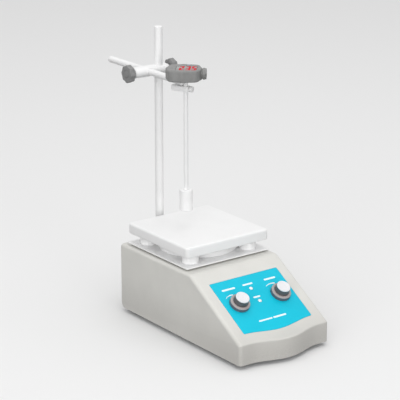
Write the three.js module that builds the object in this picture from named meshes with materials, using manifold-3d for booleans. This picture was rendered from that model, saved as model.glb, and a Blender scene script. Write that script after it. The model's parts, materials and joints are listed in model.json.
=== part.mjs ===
// Laboratory hotplate stirrer with a support rod, a boss head, an arm and a stem thermometer.
// Lengths are in millimetres. X runs to the right, Y to the back and Z up.
// The hotplate is centred over X = 0, Y = 0 of the stirrer's own frame, and the housing's
// lower rim is its Z = 0. The outer group moves all of it so that the origin lies on the
// bench, under the middle of the whole outline.

import * as THREE from 'three';
import { mergeVertices } from 'three/addons/utils/BufferGeometryUtils.js';
import Module from 'manifold-3d';

// General clearances

const gap = 0.3;
const overrun = 1;
const weldTolerance = 1e-4;
const leastRadius = 0.4;

// Counts of faces

const smallSteps = 10;
const middleSteps = 12;
const roundSteps = 16;
const fineSteps = 24;
const cornerSteps = 3;
const edgeSteps = 2;
const waveSteps = 10;
const lobeSteps = 4;
const knurlSteps = 2;

// Driving sizes

const housing = {
  width: 129.3,
  height: 81.4,
  wall: 2.6,
  crestY: -70.6,
  shoulderY: -165.6,
  lipHeight: 24.2,
  rearY: 71,
  noseReach: 10.8,
  noseMargin: 14.65,
  noseBlend: 9,
  sideRadius: 4,
  crestRadius: 12,
  lipRadius: 2.2,
  rearTopRadius: 5,
  rearBottomRadius: 9,
  rimReturn: 1.5,
  bossDiameter: 8,
  bossBore: 2.9,
  bossBoreDepth: 12,
};

const vent = {
  count: 5,
  length: 27,
  height: 2.4,
  pitch: 5,
  lowestHeight: 45,
};

const basePlate = {
  thickness: 1.5,
  rimInset: 0.8,
  cornerRadius: 3,
};

const foot = {
  height: 5,
  topDiameter: 20,
  bottomDiameter: 17,
  edge: 1,
  screwHole: 3.6,
  headHole: 7.4,
  headHoleDepth: 3.2,
  sideInset: 14.7,
  frontInset: 17,
  rearInset: 24,
};

const footScrew = {
  diameter: 3,
  headDiameter: 5.8,
  headHeight: 2,
  headEdge: 0.5,
  slotWidth: 1,
  slotDepth: 0.8,
};

const shield = {
  side: 121.6,
  thickness: 1,
  lift: 2.25,
  cornerRadius: 3,
};

const plate = {
  side: 120,
  thickness: 12.95,
  lift: 11.65,
  cornerRadius: 8,
  edgeRadius: 3,
  skin: 4.6,
};

const post = {
  diameter: 20,
  shoulderDiameter: 22.4,
  spread: 42,
  spigotDiameter: 6,
  spigotReach: 4,
};

const heater = {
  diameter: 84,
  thickness: 2,
  leadWidth: 9,
  leadReach: 2.4,
};

const insulation = {
  thickness: 3.6,
};

const heaterCover = {
  diameter: 94,
  thickness: 1,
};

const sensor = {
  diameter: 3,
  reach: 3.2,
  offset: 12,
};

const panel = {
  sideMargin: 15.35,
  thickness: 0.9,
  proud: 0.2,
  topDistance: 20,
  shoulderDistance: 96.4,
  waveReach: 5.4,
  cornerRadius: 1.5,
};

const knob = {
  sideMargin: 19.3,
  slopeDistance: 56.6,
  height: 12.7,
  skirtDiameter: 24.5,
  skirtHeight: 5.4,
  neckDiameter: 18.4,
  bodyDiameter: 17.4,
  capDiameter: 16.8,
  capHeight: 1.4,
  capSeat: 1.2,
  rimRadius: 0.9,
  shaftBoreDepth: 9,
};

const pot = {
  diameter: 16.5,
  depth: 9,
  bushDiameter: 7,
  bushProud: 0.6,
  shaftDiameter: 4,
  lugWidth: 12,
  lugDepth: 4,
  lugThickness: 1.4,
};

const lamp = {
  diameter: 4.4,
  domeHeight: 0.6,
  domeShares: [[0.8, 0.6], [0.4, 0.92]],
  stem: 6,
  sideShift: 1.2,
  upperDistance: 39.3,
  lowerDistance: 58.7,
};

const motor = {
  diameter: 37,
  length: 38,
  noseDiameter: 12,
  edge: 1.6,
  shaftDiameter: 5,
};

const bracket = {
  width: 62,
  depth: 46,
  sheet: 1.6,
  toeLength: 10,
  bendRadius: 2.4,
  headroom: 9,
};

const rotor = {
  diameter: 58,
  thickness: 9,
  hubDiameter: 14,
  hubHeight: 4,
  headroom: 1,
  sideRoom: 3,
  magnetOffset: 20,
  magnetWidth: 12,
  magnetLength: 22,
  magnetDepth: 6,
};

const board = {
  sideRoom: 18.65,
  depth: 48,
  thickness: 1.6,
  standoff: 6,
  standoffDiameter: 6,
  frontDistance: 53.6,
  edgeInset: 5,
};

const capacitor = {
  diameter: 13,
  height: 20,
  edgeDistance: 16,
  edge: 1,
};

const heatSink = {
  width: 26,
  height: 18,
  depth: 12,
  spine: 2,
  finCount: 5,
  finThickness: 1.4,
  edgeDistance: 20,
};

const transformer = {
  width: 36,
  depth: 16,
  height: 32,
  coilWidth: 26,
  coilDepth: 26,
  coilHeight: 21,
  sideDistance: 40.65,
  rearDistance: 32.5,
  coilRadius: 4,
};

const inlet = {
  centreHeight: 25,
  flangeWidth: 31,
  flangeHeight: 23.5,
  flangeThickness: 2.2,
  cornerRadius: 2.5,
  bodyWidth: 27,
  bodyHeight: 19.6,
  bodyDepth: 18,
  recessWidth: 22.5,
  recessHeight: 14.6,
  recessDepth: 15,
  pinWidth: 2,
  pinHeight: 4,
  pinLength: 9.5,
  pinSpread: 7,
  pinRise: 2,
};

const fuse = {
  centreHeight: 25,
  barrelDiameter: 12,
  barrelDepth: 17,
  flangeDiameter: 16,
  flangeThickness: 1.8,
  capDiameter: 11,
  capReach: 6,
  slotWidth: 1.6,
  slotDepth: 1.2,
};

const socket = {
  width: 25,
  height: 38,
  bottomHeight: 22,
  floor: 3.2,
  rodOffset: 7.2,
  backWall: 6.2,
  cornerRadius: 5,
  boltDiameter: 4,
  boltHeadDiameter: 7.4,
  boltHeadHeight: 2.6,
  boltSpread: 24,
  boltOffset: 8.3,
  boltReach: 6,
};

const rod = {
  diameter: 10,
  length: 312.1,
  edge: 0.8,
  running: 0.15,
};

const setScrew = {
  diameter: 5,
  headDiameter: 13,
  headLength: 8,
  headEdge: 0.8,
  standoff: 2,
  knurlCount: 14,
  knurlDepth: 0.6,
};

const boss = {
  topDistance: 52.1,
  height: 13,
  depth: 17,
  leftReach: 38,
  rightReach: 10,
  neckLength: 3.2,
  neckDiameter: 10,
  edge: 1.2,
  armOffset: 16.5,
};

const clampKnob = {
  diameter: 21.6,
  thickness: 7,
  edge: 1.1,
  lobeCount: 8,
  lobeDepth: 1,
  screwDiameter: 5,
  collarDiameter: 9,
  collarLength: 1.6,
};

const arm = {
  diameter: 8,
  length: 149.1,
  edge: 1,
  tipReach: 2.6,
};

const holder = {
  pivotY: 10,
  angleDegrees: 25,
  frontLength: 10.6,
  rearLength: 11.8,
  width: 8.4,
  height: 6.2,
  cornerRadius: 2,
  stemOffset: 6.1,
  pinDiameter: 3,
  washer: 0.3,
};

const holderScrew = {
  diameter: 3,
  headDiameter: 7,
  headLength: 4.4,
  headEdge: 0.5,
};

const thermometer = {
  stemDiameter: 5.3,
  sleeveDiameter: 15.6,
  sleeveLength: 25.4,
  sleeveFloor: 2,
  sleeveEdge: 0.8,
  sleeveLift: 21.35,
  turnDegrees: -41,
  liftOverArm: 0.3,
  height: 14,
  halfLength: 20.2,
  halfDepth: 19.5,
  cornerShare: 0.74,
  lobeCount: 8,
  lobeDepth: 0.8,
  bellyRadius: 1.8,
  rimRadius: 2,
  bodyShift: -3.1,
  bodyForward: 2.6,
  stemSocket: 8,
};

const batteryCap = {
  diameter: 12,
  collarDiameter: 13.6,
  collarLength: 3.6,
  reach: 24.2,
  seat: 4.5,
  edge: 0.8,
  slotWidth: 1.6,
  slotDepth: 1.2,
};

const display = {
  width: 22,
  depth: 15,
  thickness: 1.2,
  cornerRadius: 1.5,
  sideShift: 3.4,
  forward: 1.9,
};

const button = {
  diameter: 4.6,
  proud: 0.8,
  seat: 3,
  travel: 0.9,
  sideShift: 5.6,
  offset: 12.4,
};

// Sizes worked out from the driving sizes

const shieldBottom = housing.height + shield.lift;
const shieldTop = shieldBottom + shield.thickness;
const plateBottom = shieldTop + plate.lift;
const plateTop = plateBottom + plate.thickness;
const slopeRise = housing.height - housing.lipHeight;
const slopeRun = housing.crestY - housing.shoulderY;
const slopeAngle = Math.atan2(slopeRise, slopeRun);
const slopeLength = Math.hypot(slopeRise, slopeRun);
const noseY = housing.shoulderY - housing.noseReach;
const noseHalfWidth = housing.width / 2 - housing.noseMargin;
const panelWidth = housing.width - 2 * panel.sideMargin;
const knobX = panelWidth / 2 - knob.sideMargin;
const lampX = -lamp.sideShift;
const boardWidth = housing.width - 2 * board.sideRoom;
const boardY = housing.shoulderY + board.frontDistance;
const rearBayX = (housing.width / 2 + socket.width / 2) / 2;
const rimRearY = housing.rearY - housing.rearBottomRadius - housing.rimReturn;
const basePlateTop = basePlate.rimInset + basePlate.thickness;
const footPlaces = [-1, 1].flatMap((side) => [
  { x: side * (housing.width / 2 - foot.sideInset), y: housing.shoulderY + foot.frontInset },
  { x: side * (housing.width / 2 - foot.sideInset), y: housing.rearY - foot.rearInset },
]);
const postPlaces = [-1, 1].flatMap((x) => [-1, 1].map((y) => (
  { x: x * post.spread, y: y * post.spread }
)));
const rodY = housing.rearY + gap + socket.rodOffset;
const rodBottom = socket.bottomHeight + socket.floor + gap;
const bossHeight = rodBottom + rod.length - boss.topDistance;
const rodBore = rod.diameter / 2 + rod.running;
const armBore = arm.diameter / 2 + rod.running;
const stemBore = thermometer.stemDiameter / 2 + rod.running;
const armX = -boss.armOffset;
const holderAngle = THREE.MathUtils.degToRad(holder.angleDegrees);
const holderTop = bossHeight - arm.diameter / 2 - holder.washer;
const caseBottom = bossHeight + arm.diameter / 2 + thermometer.liftOverArm;
const sleeveBottom = plateTop + thermometer.sleeveLift;
const caseX = thermometer.bodyShift;
const caseY = -thermometer.bodyForward;
const stemX = armX + holder.stemOffset * Math.sin(holderAngle);
const stemY = holder.pivotY - holder.stemOffset * Math.cos(holderAngle);
const rotorTop = shieldBottom - rotor.headroom;
const rotorBottom = rotorTop - rotor.thickness;
const bracketTop = rotorBottom - bracket.headroom;
const armFrontY = holder.pivotY - arm.tipReach;
const outlineMiddleY = (noseY + armFrontY + arm.length) / 2;

// Finishes

const finish = (color, roughness, metalness = 0) => (
  new THREE.MeshStandardMaterial({ color, roughness, metalness })
);

const finishes = {
  housing: () => finish(0xdfddd9, 0.5),
  sheet: () => finish(0xb9bcbe, 0.4, 0.8),
  rubber: () => finish(0x232323, 0.9),
  enamel: () => finish(0xf1f2f2, 0.35),
  shield: () => finish(0xeceded, 0.4),
  steel: () => finish(0xc4c7c9, 0.3, 0.9),
  coatedRod: () => finish(0xe9eaea, 0.3),
  panel: () => finish(0x28cce6, 0.45),
  knobGrey: () => finish(0x6d6a70, 0.5),
  knobCap: () => finish(0xf4f4f6, 0.3),
  lampWhite: () => finish(0xf6fbfb, 0.2),
  clampGrey: () => finish(0x8f9090, 0.6),
  caseGrey: () => finish(0x8c8c8c, 0.55),
  window: () => finish(0x3a2a2c, 0.15),
  mica: () => finish(0xb59a6a, 0.7),
  wool: () => finish(0xe4dfd2, 0.95),
  black: () => finish(0x1b1b1c, 0.5),
  magnet: () => finish(0x4a4b4e, 0.35, 0.8),
  nylon: () => finish(0xe6e3da, 0.6),
  boardGreen: () => finish(0x1d6b45, 0.6),
  coil: () => finish(0x9a5a2a, 0.5),
};

// Solids from geometries and back

const wasm = await Module();
wasm.setup();

function cleaned(geometry) {
  const bare = geometry.index ? geometry.toNonIndexed() : geometry.clone();
  for (const name of Object.keys(bare.attributes)) {
    if (name !== 'position') bare.deleteAttribute(name);
  }
  const merged = mergeVertices(bare, weldTolerance);
  const index = merged.index.array;
  const kept = [];
  for (let i = 0; i < index.length; i += 3) {
    const [a, b, c] = [index[i], index[i + 1], index[i + 2]];
    if (a !== b && b !== c && c !== a) kept.push(a, b, c);
  }
  return { positions: merged.attributes.position.array, triangles: kept };
}

function signedVolume({ positions, triangles }) {
  const at = (i) => new THREE.Vector3().fromArray(positions, 3 * i);
  let total = 0;
  for (let i = 0; i < triangles.length; i += 3) {
    const cross = at(triangles[i + 1]).cross(at(triangles[i + 2]));
    total += at(triangles[i]).dot(cross);
  }
  return total / 6;
}

function solid(geometry) {
  const mesh = cleaned(geometry);
  if (signedVolume(mesh) < 0) mesh.triangles.reverse();
  return new wasm.Manifold(new wasm.Mesh({
    numProp: 3,
    vertProperties: Float32Array.from(mesh.positions),
    triVerts: Uint32Array.from(mesh.triangles),
  }));
}

function toGeometry(manifold) {
  const mesh = manifold.getMesh();
  const geometry = new THREE.BufferGeometry();
  geometry.setAttribute('position', new THREE.BufferAttribute(mesh.vertProperties, 3));
  geometry.setIndex(new THREE.BufferAttribute(mesh.triVerts, 1));
  geometry.computeVertexNormals();
  return geometry;
}

const cut = (body, ...tools) => tools.reduce((rest, tool) => rest.subtract(tool), body);
const joined = (...solids) => solids.reduce((whole, next) => whole.add(next));

function piece(name, shape, material) {
  const geometry = shape.isBufferGeometry ? toGeometry(solid(shape)) : toGeometry(shape);
  const mesh = new THREE.Mesh(geometry, material);
  mesh.name = name;
  return mesh;
}

// Basic forms, standing on Z = 0 unless moved

function cylinder(diameter, height, steps = roundSteps) {
  const geometry = new THREE.CylinderGeometry(diameter / 2, diameter / 2, height, steps);
  return geometry.rotateX(Math.PI / 2).translate(0, 0, height / 2);
}

function turned(profile, steps = roundSteps) {
  const points = profile.map(([radius, height]) => new THREE.Vector2(radius, height));
  return new THREE.LatheGeometry(points, steps).rotateX(Math.PI / 2);
}

function chamferedPin(diameter, height, edge, steps = roundSteps) {
  const radius = diameter / 2;
  return turned([
    [0, 0],
    [radius - edge, 0],
    [radius, edge],
    [radius, height - edge],
    [radius - edge, height],
    [0, height],
  ], steps);
}

function block(width, depth, height) {
  return new THREE.BoxGeometry(width, depth, height).translate(0, 0, height / 2);
}

function extruded(shape, height, bevel = 0, curveSegments = 2) {
  const geometry = new THREE.ExtrudeGeometry(shape, {
    depth: height - 2 * bevel,
    curveSegments,
    bevelEnabled: bevel > 0,
    bevelThickness: bevel,
    bevelSize: bevel,
    bevelOffset: -bevel,
    bevelSegments: edgeSteps,
  });
  return geometry.translate(0, 0, bevel);
}

function roundedRectangle(width, depth, radius) {
  const [right, back] = [width / 2, depth / 2];
  const shape = new THREE.Shape();
  shape.moveTo(right - radius, -back);
  shape.absarc(right - radius, -back + radius, radius, -Math.PI / 2, 0, false);
  shape.absarc(right - radius, back - radius, radius, 0, Math.PI / 2, false);
  shape.absarc(-right + radius, back - radius, radius, Math.PI / 2, Math.PI, false);
  shape.absarc(-right + radius, -back + radius, radius, Math.PI, 1.5 * Math.PI, false);
  shape.closePath();
  return shape;
}

// An oval with flutes; the share is how far along its diagonal the oval reaches into the corner

function lobedPoints(halfLength, halfDepth, cornerShare, lobeCount, lobeDepth, steps) {
  const points = [];
  const power = Math.log(1 / 2) / Math.log(cornerShare);
  for (let i = 0; i < steps; i += 1) {
    const angle = (2 * Math.PI * i) / steps;
    const across = Math.abs(Math.cos(angle) / halfLength) ** power;
    const along = Math.abs(Math.sin(angle) / halfDepth) ** power;
    const flute = (lobeDepth * (1 - Math.cos(lobeCount * angle))) / 2;
    const radius = (across + along) ** (-1 / power) - flute;
    points.push(new THREE.Vector2(radius * Math.cos(angle), radius * Math.sin(angle)));
  }
  return points;
}

const alongX = (geometry) => geometry.rotateY(Math.PI / 2);
const alongY = (geometry) => geometry.rotateX(-Math.PI / 2);

// A skin through rings of points, closed by a flat face at each end

function loft(rings, flatten) {
  const size = rings[0].length;
  const positions = rings.flatMap((ring) => ring.flatMap((point) => point.toArray()));
  const index = [];
  for (let ring = 0; ring + 1 < rings.length; ring += 1) {
    for (let i = 0; i < size; i += 1) {
      const next = (i + 1) % size;
      const [a, b] = [ring * size + i, ring * size + next];
      const [c, d] = [a + size, b + size];
      index.push(a, b, d, a, d, c);
    }
  }
  const firstFace = THREE.ShapeUtils.triangulateShape(rings[0].map(flatten), []);
  const last = (rings.length - 1) * size;
  const turnsLeft = THREE.ShapeUtils.isClockWise(rings[0].map(flatten)) === false;
  for (const [a, b, c] of firstFace) {
    const start = turnsLeft ? [c, b, a] : [a, b, c];
    index.push(...start);
    index.push(...start.slice().reverse().map((i) => last + i));
  }
  const geometry = new THREE.BufferGeometry();
  geometry.setAttribute('position', new THREE.Float32BufferAttribute(positions, 3));
  geometry.setIndex(index);
  return geometry;
}

// An outline through corners, each rounded by its own radius

function filletedOutline(corners, steps) {
  const outline = [];
  corners.forEach((corner, i) => {
    const here = new THREE.Vector2(corner.u, corner.v);
    if (!corner.radius) {
      outline.push(here);
      return;
    }
    const before = corners[(i + corners.length - 1) % corners.length];
    const after = corners[(i + 1) % corners.length];
    const back = new THREE.Vector2(before.u, before.v).sub(here).normalize();
    const ahead = new THREE.Vector2(after.u, after.v).sub(here).normalize();
    const half = Math.acos(THREE.MathUtils.clamp(back.dot(ahead), -1, 1)) / 2;
    const centre = back.clone().add(ahead).normalize()
      .multiplyScalar(corner.radius / Math.sin(half)).add(here);
    const reach = corner.radius / Math.tan(half);
    const from = back.multiplyScalar(reach).add(here).sub(centre).angle();
    const to = ahead.multiplyScalar(reach).add(here).sub(centre).angle();
    let sweep = to - from;
    if (sweep > Math.PI) sweep -= 2 * Math.PI;
    if (sweep < -Math.PI) sweep += 2 * Math.PI;
    for (let step = 0; step <= steps; step += 1) {
      const angle = from + (sweep * step) / steps;
      outline.push(new THREE.Vector2(
        centre.x + corner.radius * Math.cos(angle),
        centre.y + corner.radius * Math.sin(angle),
      ));
    }
  });
  return outline;
}

// Housing: a moulded shell, open below, with a sloping front over a wavy nose

function bulge(x, reach, halfWidth) {
  if (Math.abs(x) >= halfWidth) return 0;
  return (reach * (1 + Math.cos((Math.PI * x) / halfWidth))) / 2;
}

function slopePoint(distance, depth) {
  return new THREE.Vector2(
    housing.crestY - distance * Math.cos(slopeAngle) + depth * Math.sin(slopeAngle),
    housing.height - distance * Math.sin(slopeAngle) - depth * Math.cos(slopeAngle),
  );
}

function noseCurve(x, inset) {
  const start = slopePoint(slopeLength - housing.noseBlend, 0);
  const control = slopePoint(slopeLength - housing.noseBlend / 2, 0);
  const frontY = housing.shoulderY - bulge(x, housing.noseReach, noseHalfWidth);
  const end = new THREE.Vector2(frontY, housing.lipHeight);
  const curve = new THREE.QuadraticBezierCurve(start, control, end);
  const points = [];
  for (let i = 0; i <= cornerSteps; i += 1) {
    const share = i / cornerSteps;
    const tangent = curve.getTangent(share);
    const point = curve.getPoint(share);
    points.push(new THREE.Vector2(
      point.x - inset * tangent.y,
      point.y + inset * tangent.x,
    ));
  }
  const last = points.pop();
  const tangent = curve.getTangent(1);
  const short = (frontY + inset - last.x) / tangent.x;
  points.push(new THREE.Vector2(frontY + inset, last.y + short * tangent.y));
  return points;
}

function housingProfile(x, inset, open) {
  const crest = slopePoint(0, inset);
  const top = housing.height - inset;
  const crestY = crest.x + (top - crest.y) / Math.tan(slopeAngle);
  const nose = noseCurve(x, inset);
  const lip = nose.pop();
  const bottom = open ? -overrun : 0;
  const radius = (full) => Math.max(full - inset, leastRadius);
  const corners = [
    { u: lip.x, v: bottom },
    { u: lip.x, v: lip.y, radius: radius(housing.lipRadius) },
    ...nose.reverse().map((point) => ({ u: point.x, v: point.y })),
    { u: crestY, v: top, radius: housing.crestRadius },
    { u: housing.rearY - inset, v: top, radius: radius(housing.rearTopRadius) },
    {
      u: housing.rearY - inset,
      v: open ? inset : bottom,
      radius: radius(housing.rearBottomRadius),
    },
  ];
  if (open) {
    corners.push({ u: rimRearY, v: inset }, { u: rimRearY, v: bottom });
  }
  return filletedOutline(corners, cornerSteps).map((p) => new THREE.Vector3(x, p.x, p.y));
}

function housingForm(inset, open) {
  const half = housing.width / 2 - inset;
  const radius = Math.max(housing.sideRadius - inset, leastRadius);
  const straight = half - radius;
  const rings = [];
  for (let i = 0; i <= edgeSteps; i += 1) {
    const angle = (Math.PI * i) / (2 * edgeSteps);
    const x = straight + radius * Math.cos(angle);
    rings.push([x, inset + radius * (1 - Math.sin(angle))]);
  }
  const stations = rings.map(([x, depth]) => [-x, depth]);
  for (let i = 1; i < waveSteps; i += 1) {
    stations.push([-straight + (2 * straight * i) / waveSteps, inset]);
  }
  stations.push(...rings.reverse());
  const sections = stations.map(([x, depth]) => housingProfile(x, depth, open));
  return loft(sections, (point) => new THREE.Vector2(point.y, point.z));
}

const onSlope = (geometry) => (
  geometry.rotateX(slopeAngle).translate(0, housing.crestY, housing.height)
);

function panelOutline(growth) {
  const half = panelWidth / 2 + growth;
  const corners = [
    { u: half, v: -panel.topDistance + growth, radius: panel.cornerRadius + growth },
    { u: -half, v: -panel.topDistance + growth, radius: panel.cornerRadius + growth },
    { u: -half, v: -panel.shoulderDistance - growth, radius: panel.cornerRadius + growth },
  ];
  for (let i = 1; i < waveSteps; i += 1) {
    const x = -noseHalfWidth + (2 * noseHalfWidth * i) / waveSteps;
    const reach = bulge(x, panel.waveReach, noseHalfWidth);
    if (Math.abs(x) < half - 2 * panel.cornerRadius) {
      corners.push({ u: x, v: -panel.shoulderDistance - reach - growth });
    }
  }
  corners.push(
    { u: half, v: -panel.shoulderDistance - growth, radius: panel.cornerRadius + growth },
  );
  return new THREE.Shape(filletedOutline(corners, cornerSteps));
}

function housingShell() {
  const outer = solid(housingForm(0, false));
  const cavity = solid(housingForm(housing.wall, true));
  const bosses = footPlaces.map(({ x, y }) => {
    const column = cylinder(housing.bossDiameter, housing.height, smallSteps);
    return solid(column.translate(x, y, basePlateTop + gap)).intersect(outer);
  });
  const bossBores = footPlaces.map(({ x, y }) => (
    solid(cylinder(housing.bossBore, housing.bossBoreDepth + overrun, smallSteps)
      .translate(x, y, basePlateTop + gap - overrun))
  ));
  const rotorHole = solid(
    cylinder(rotor.diameter + 2 * rotor.sideRoom, housing.wall + 2 * overrun, fineSteps)
      .translate(0, 0, housing.height - housing.wall - overrun),
  );
  const postHoles = postPlaces.map(({ x, y }) => (
    solid(cylinder(post.spigotDiameter + 2 * gap, housing.wall + 2 * overrun, smallSteps)
      .translate(x, y, housing.height - housing.wall - overrun))
  ));
  const recess = solid(onSlope(
    extruded(panelOutline(gap), panel.thickness - panel.proud + gap + overrun)
      .translate(0, 0, panel.proud - panel.thickness - gap),
  ));
  const slopeHole = (x, distance, diameter) => solid(onSlope(
    cylinder(diameter + 2 * gap, housing.wall + 2 * overrun, smallSteps)
      .translate(x, -distance, -housing.wall - overrun),
  ));
  const controls = [
    slopeHole(-knobX, knob.slopeDistance, pot.bushDiameter),
    slopeHole(knobX, knob.slopeDistance, pot.bushDiameter),
    slopeHole(lampX, lamp.upperDistance, lamp.diameter),
    slopeHole(lampX, lamp.lowerDistance, lamp.diameter),
  ];
  const rearCut = (shape, x, z) => solid(
    alongY(extruded(shape, housing.wall + 2 * overrun, 0, 1))
      .translate(x, housing.rearY - housing.wall - overrun, z),
  );
  const inletHole = rearCut(
    roundedRectangle(inlet.bodyWidth + 2 * gap, inlet.bodyHeight + 2 * gap, inlet.cornerRadius),
    rearBayX,
    inlet.centreHeight,
  );
  const rearBore = (diameter, x, z) => solid(
    alongY(cylinder(diameter + 2 * gap, housing.wall + 2 * overrun, smallSteps))
      .translate(x, housing.rearY - housing.wall - overrun, z),
  );
  const fuseHole = rearBore(fuse.barrelDiameter, -rearBayX, fuse.centreHeight);
  const boltHoles = socketBoltPlaces().map(({ x, z }) => rearBore(socket.boltDiameter, x, z));
  const slots = [];
  for (const side of [-1, 1]) {
    for (let i = 0; i < vent.count; i += 1) {
      const slot = roundedRectangle(vent.length, vent.height, vent.height / 2 - gap / 2);
      slots.push(rearCut(slot, side * rearBayX, vent.lowestHeight + i * vent.pitch));
    }
  }
  return cut(
    joined(cut(outer, cavity), ...bosses),
    ...bossBores,
    rotorHole,
    ...postHoles,
    recess,
    ...controls,
    inletHole,
    fuseHole,
    ...boltHoles,
    ...slots,
  );
}

function circleHole(x, y, diameter) {
  const hole = new THREE.Path();
  hole.absarc(x, y, diameter / 2, 0, 2 * Math.PI, true);
  return hole;
}

function boardCorners() {
  const x = boardWidth / 2 - board.edgeInset;
  const y = board.depth / 2 - board.edgeInset;
  return [[-x, -y], [x, -y], [x, y], [-x, y]];
}

function basePlateSolid() {
  const half = housing.width / 2 - housing.wall - gap;
  const rear = rimRearY - gap;
  const front = housing.shoulderY + housing.wall + gap;
  const corners = [
    { u: half, v: rear, radius: basePlate.cornerRadius },
    { u: -half, v: rear, radius: basePlate.cornerRadius },
    { u: -half, v: front, radius: basePlate.cornerRadius },
  ];
  for (let i = 0; i <= waveSteps; i += 1) {
    const x = -noseHalfWidth + (2 * noseHalfWidth * i) / waveSteps;
    corners.push({ u: x, v: front - bulge(x, housing.noseReach, noseHalfWidth) });
  }
  corners.push({ u: half, v: front, radius: basePlate.cornerRadius });
  const shape = new THREE.Shape(filletedOutline(corners, cornerSteps));
  footPlaces.forEach(({ x, y }) => shape.holes.push(circleHole(x, y, foot.screwHole)));
  const sheet = solid(
    extruded(shape, basePlate.thickness, 0, smallSteps / 2).translate(0, 0, basePlate.rimInset),
  );
  const standoffs = boardCorners().map(([x, y]) => (
    solid(cylinder(board.standoffDiameter, board.standoff + gap, smallSteps)
      .translate(x, boardY + y, basePlateTop - gap))
  ));
  return joined(sheet, ...standoffs);
}

function footSolid() {
  const [top, bottom] = [foot.topDiameter / 2, foot.bottomDiameter / 2];
  const height = foot.height + basePlate.rimInset - gap;
  const hole = foot.screwHole / 2;
  return turned([
    [foot.headHole / 2, 0],
    [bottom - foot.edge, 0],
    [bottom, foot.edge],
    [top, height - foot.edge],
    [top - foot.edge, height],
    [hole, height],
    [hole, foot.headHoleDepth],
    [foot.headHole / 2, foot.headHoleDepth],
    [foot.headHole / 2, 0],
  ], middleSteps);
}

function slottedHead(diameter, height, edge, slotWidth, slotDepth) {
  const head = solid(chamferedPin(diameter, height, edge, smallSteps));
  const slot = solid(block(diameter + 2 * overrun, slotWidth, slotDepth + overrun)
    .translate(0, 0, -overrun));
  return cut(head, slot);
}

function footScrewSolid() {
  const reach = basePlateTop + gap + housing.bossBoreDepth / 2 - footScrewHeight();
  const shank = solid(cylinder(footScrew.diameter - 2 * rod.running, reach, smallSteps));
  const head = slottedHead(
    footScrew.headDiameter,
    footScrew.headHeight,
    footScrew.headEdge,
    footScrew.slotWidth,
    footScrew.slotDepth,
  );
  return joined(head, shank.translate(0, 0, footScrew.headHeight / 2));
}

function footScrewHeight() {
  return -foot.height + foot.headHoleDepth - gap - footScrew.headHeight;
}

// Hotplate, its posts and what heats it

function plateSolid() {
  const slab = solid(extruded(
    roundedRectangle(plate.side, plate.side, plate.cornerRadius),
    plate.thickness,
    plate.edgeRadius,
  ));
  const recess = solid(
    cylinder(heater.diameter + 2 * gap, plate.thickness - plate.skin + overrun, fineSteps)
      .translate(0, 0, -overrun),
  );
  const rebate = solid(
    cylinder(heaterCover.diameter + 2 * gap, heaterCover.thickness + gap + overrun, fineSteps)
      .translate(0, 0, -overrun),
  );
  return cut(slab, recess, rebate);
}

function shieldSolid() {
  const shape = roundedRectangle(shield.side, shield.side, shield.cornerRadius);
  postPlaces.forEach(({ x, y }) => {
    shape.holes.push(circleHole(x, y, post.diameter + 2 * gap));
  });
  return extruded(shape, shield.thickness, 0, roundSteps / 2);
}

function postSolid() {
  const spigot = post.spigotDiameter / 2;
  const shoulder = post.shoulderDiameter / 2;
  const column = post.diameter / 2;
  const seat = shield.lift - gap;
  const top = plateBottom - housing.height - gap;
  return turned([
    [0, -post.spigotReach],
    [spigot, -post.spigotReach],
    [spigot, gap],
    [shoulder, gap],
    [shoulder, seat],
    [column, seat],
    [column, top],
    [0, top],
  ]);
}

function heaterSolid() {
  const disc = solid(cylinder(heater.diameter, heater.thickness, fineSteps));
  const lead = solid(block(heater.leadWidth, heater.leadWidth, heater.leadReach)
    .translate(0, heater.diameter / 4, -heater.leadReach + heater.thickness / 2));
  return joined(disc, lead);
}

function insulationSolid() {
  const pad = solid(cylinder(heater.diameter, insulation.thickness, fineSteps));
  const leadHole = solid(
    block(heater.leadWidth + 2 * gap, heater.leadWidth + 2 * gap, insulation.thickness + 2 * overrun)
      .translate(0, heater.diameter / 4, -overrun),
  );
  const sensorHole = solid(
    cylinder(sensor.diameter + 2 * gap, insulation.thickness + 2 * overrun)
      .translate(sensor.offset, 0, -overrun),
  );
  return cut(pad, leadHole, sensorHole);
}

function heaterCoverSolid() {
  const disc = solid(cylinder(heaterCover.diameter, heaterCover.thickness, fineSteps));
  const sensorHole = solid(
    cylinder(sensor.diameter + 2 * gap, heaterCover.thickness + 2 * overrun)
      .translate(sensor.offset, 0, -overrun),
  );
  return cut(disc, sensorHole);
}

function sensorSolid(depth) {
  return cylinder(sensor.diameter, sensor.reach + depth, smallSteps);
}

// Controls on the slope

function knobSolid() {
  const bore = solid(
    cylinder(pot.shaftDiameter + 2 * rod.running, knob.shaftBoreDepth + overrun)
      .translate(0, 0, -overrun),
  );
  const bush = solid(
    cylinder(pot.bushDiameter + 2 * gap, pot.bushProud + gap + overrun).translate(0, 0, -overrun),
  );
  const capSeat = solid(
    cylinder(knob.capDiameter - 2 * knob.rimRadius, knob.capSeat + overrun)
      .translate(0, 0, knob.height - knob.capHeight - knob.capSeat),
  );
  const top = knob.height - knob.capHeight - gap;
  const rim = knob.rimRadius;
  const body = solid(turned([
    [0, 0],
    [knob.skirtDiameter / 2 - rim / 2, 0],
    [knob.skirtDiameter / 2, rim / 2],
    [knob.skirtDiameter / 2, knob.skirtHeight - rim],
    [knob.skirtDiameter / 2 - rim, knob.skirtHeight],
    [knob.neckDiameter / 2, knob.skirtHeight],
    [knob.bodyDiameter / 2, top],
    [0, top],
  ], fineSteps));
  return cut(body, bore, bush, capSeat);
}

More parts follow.
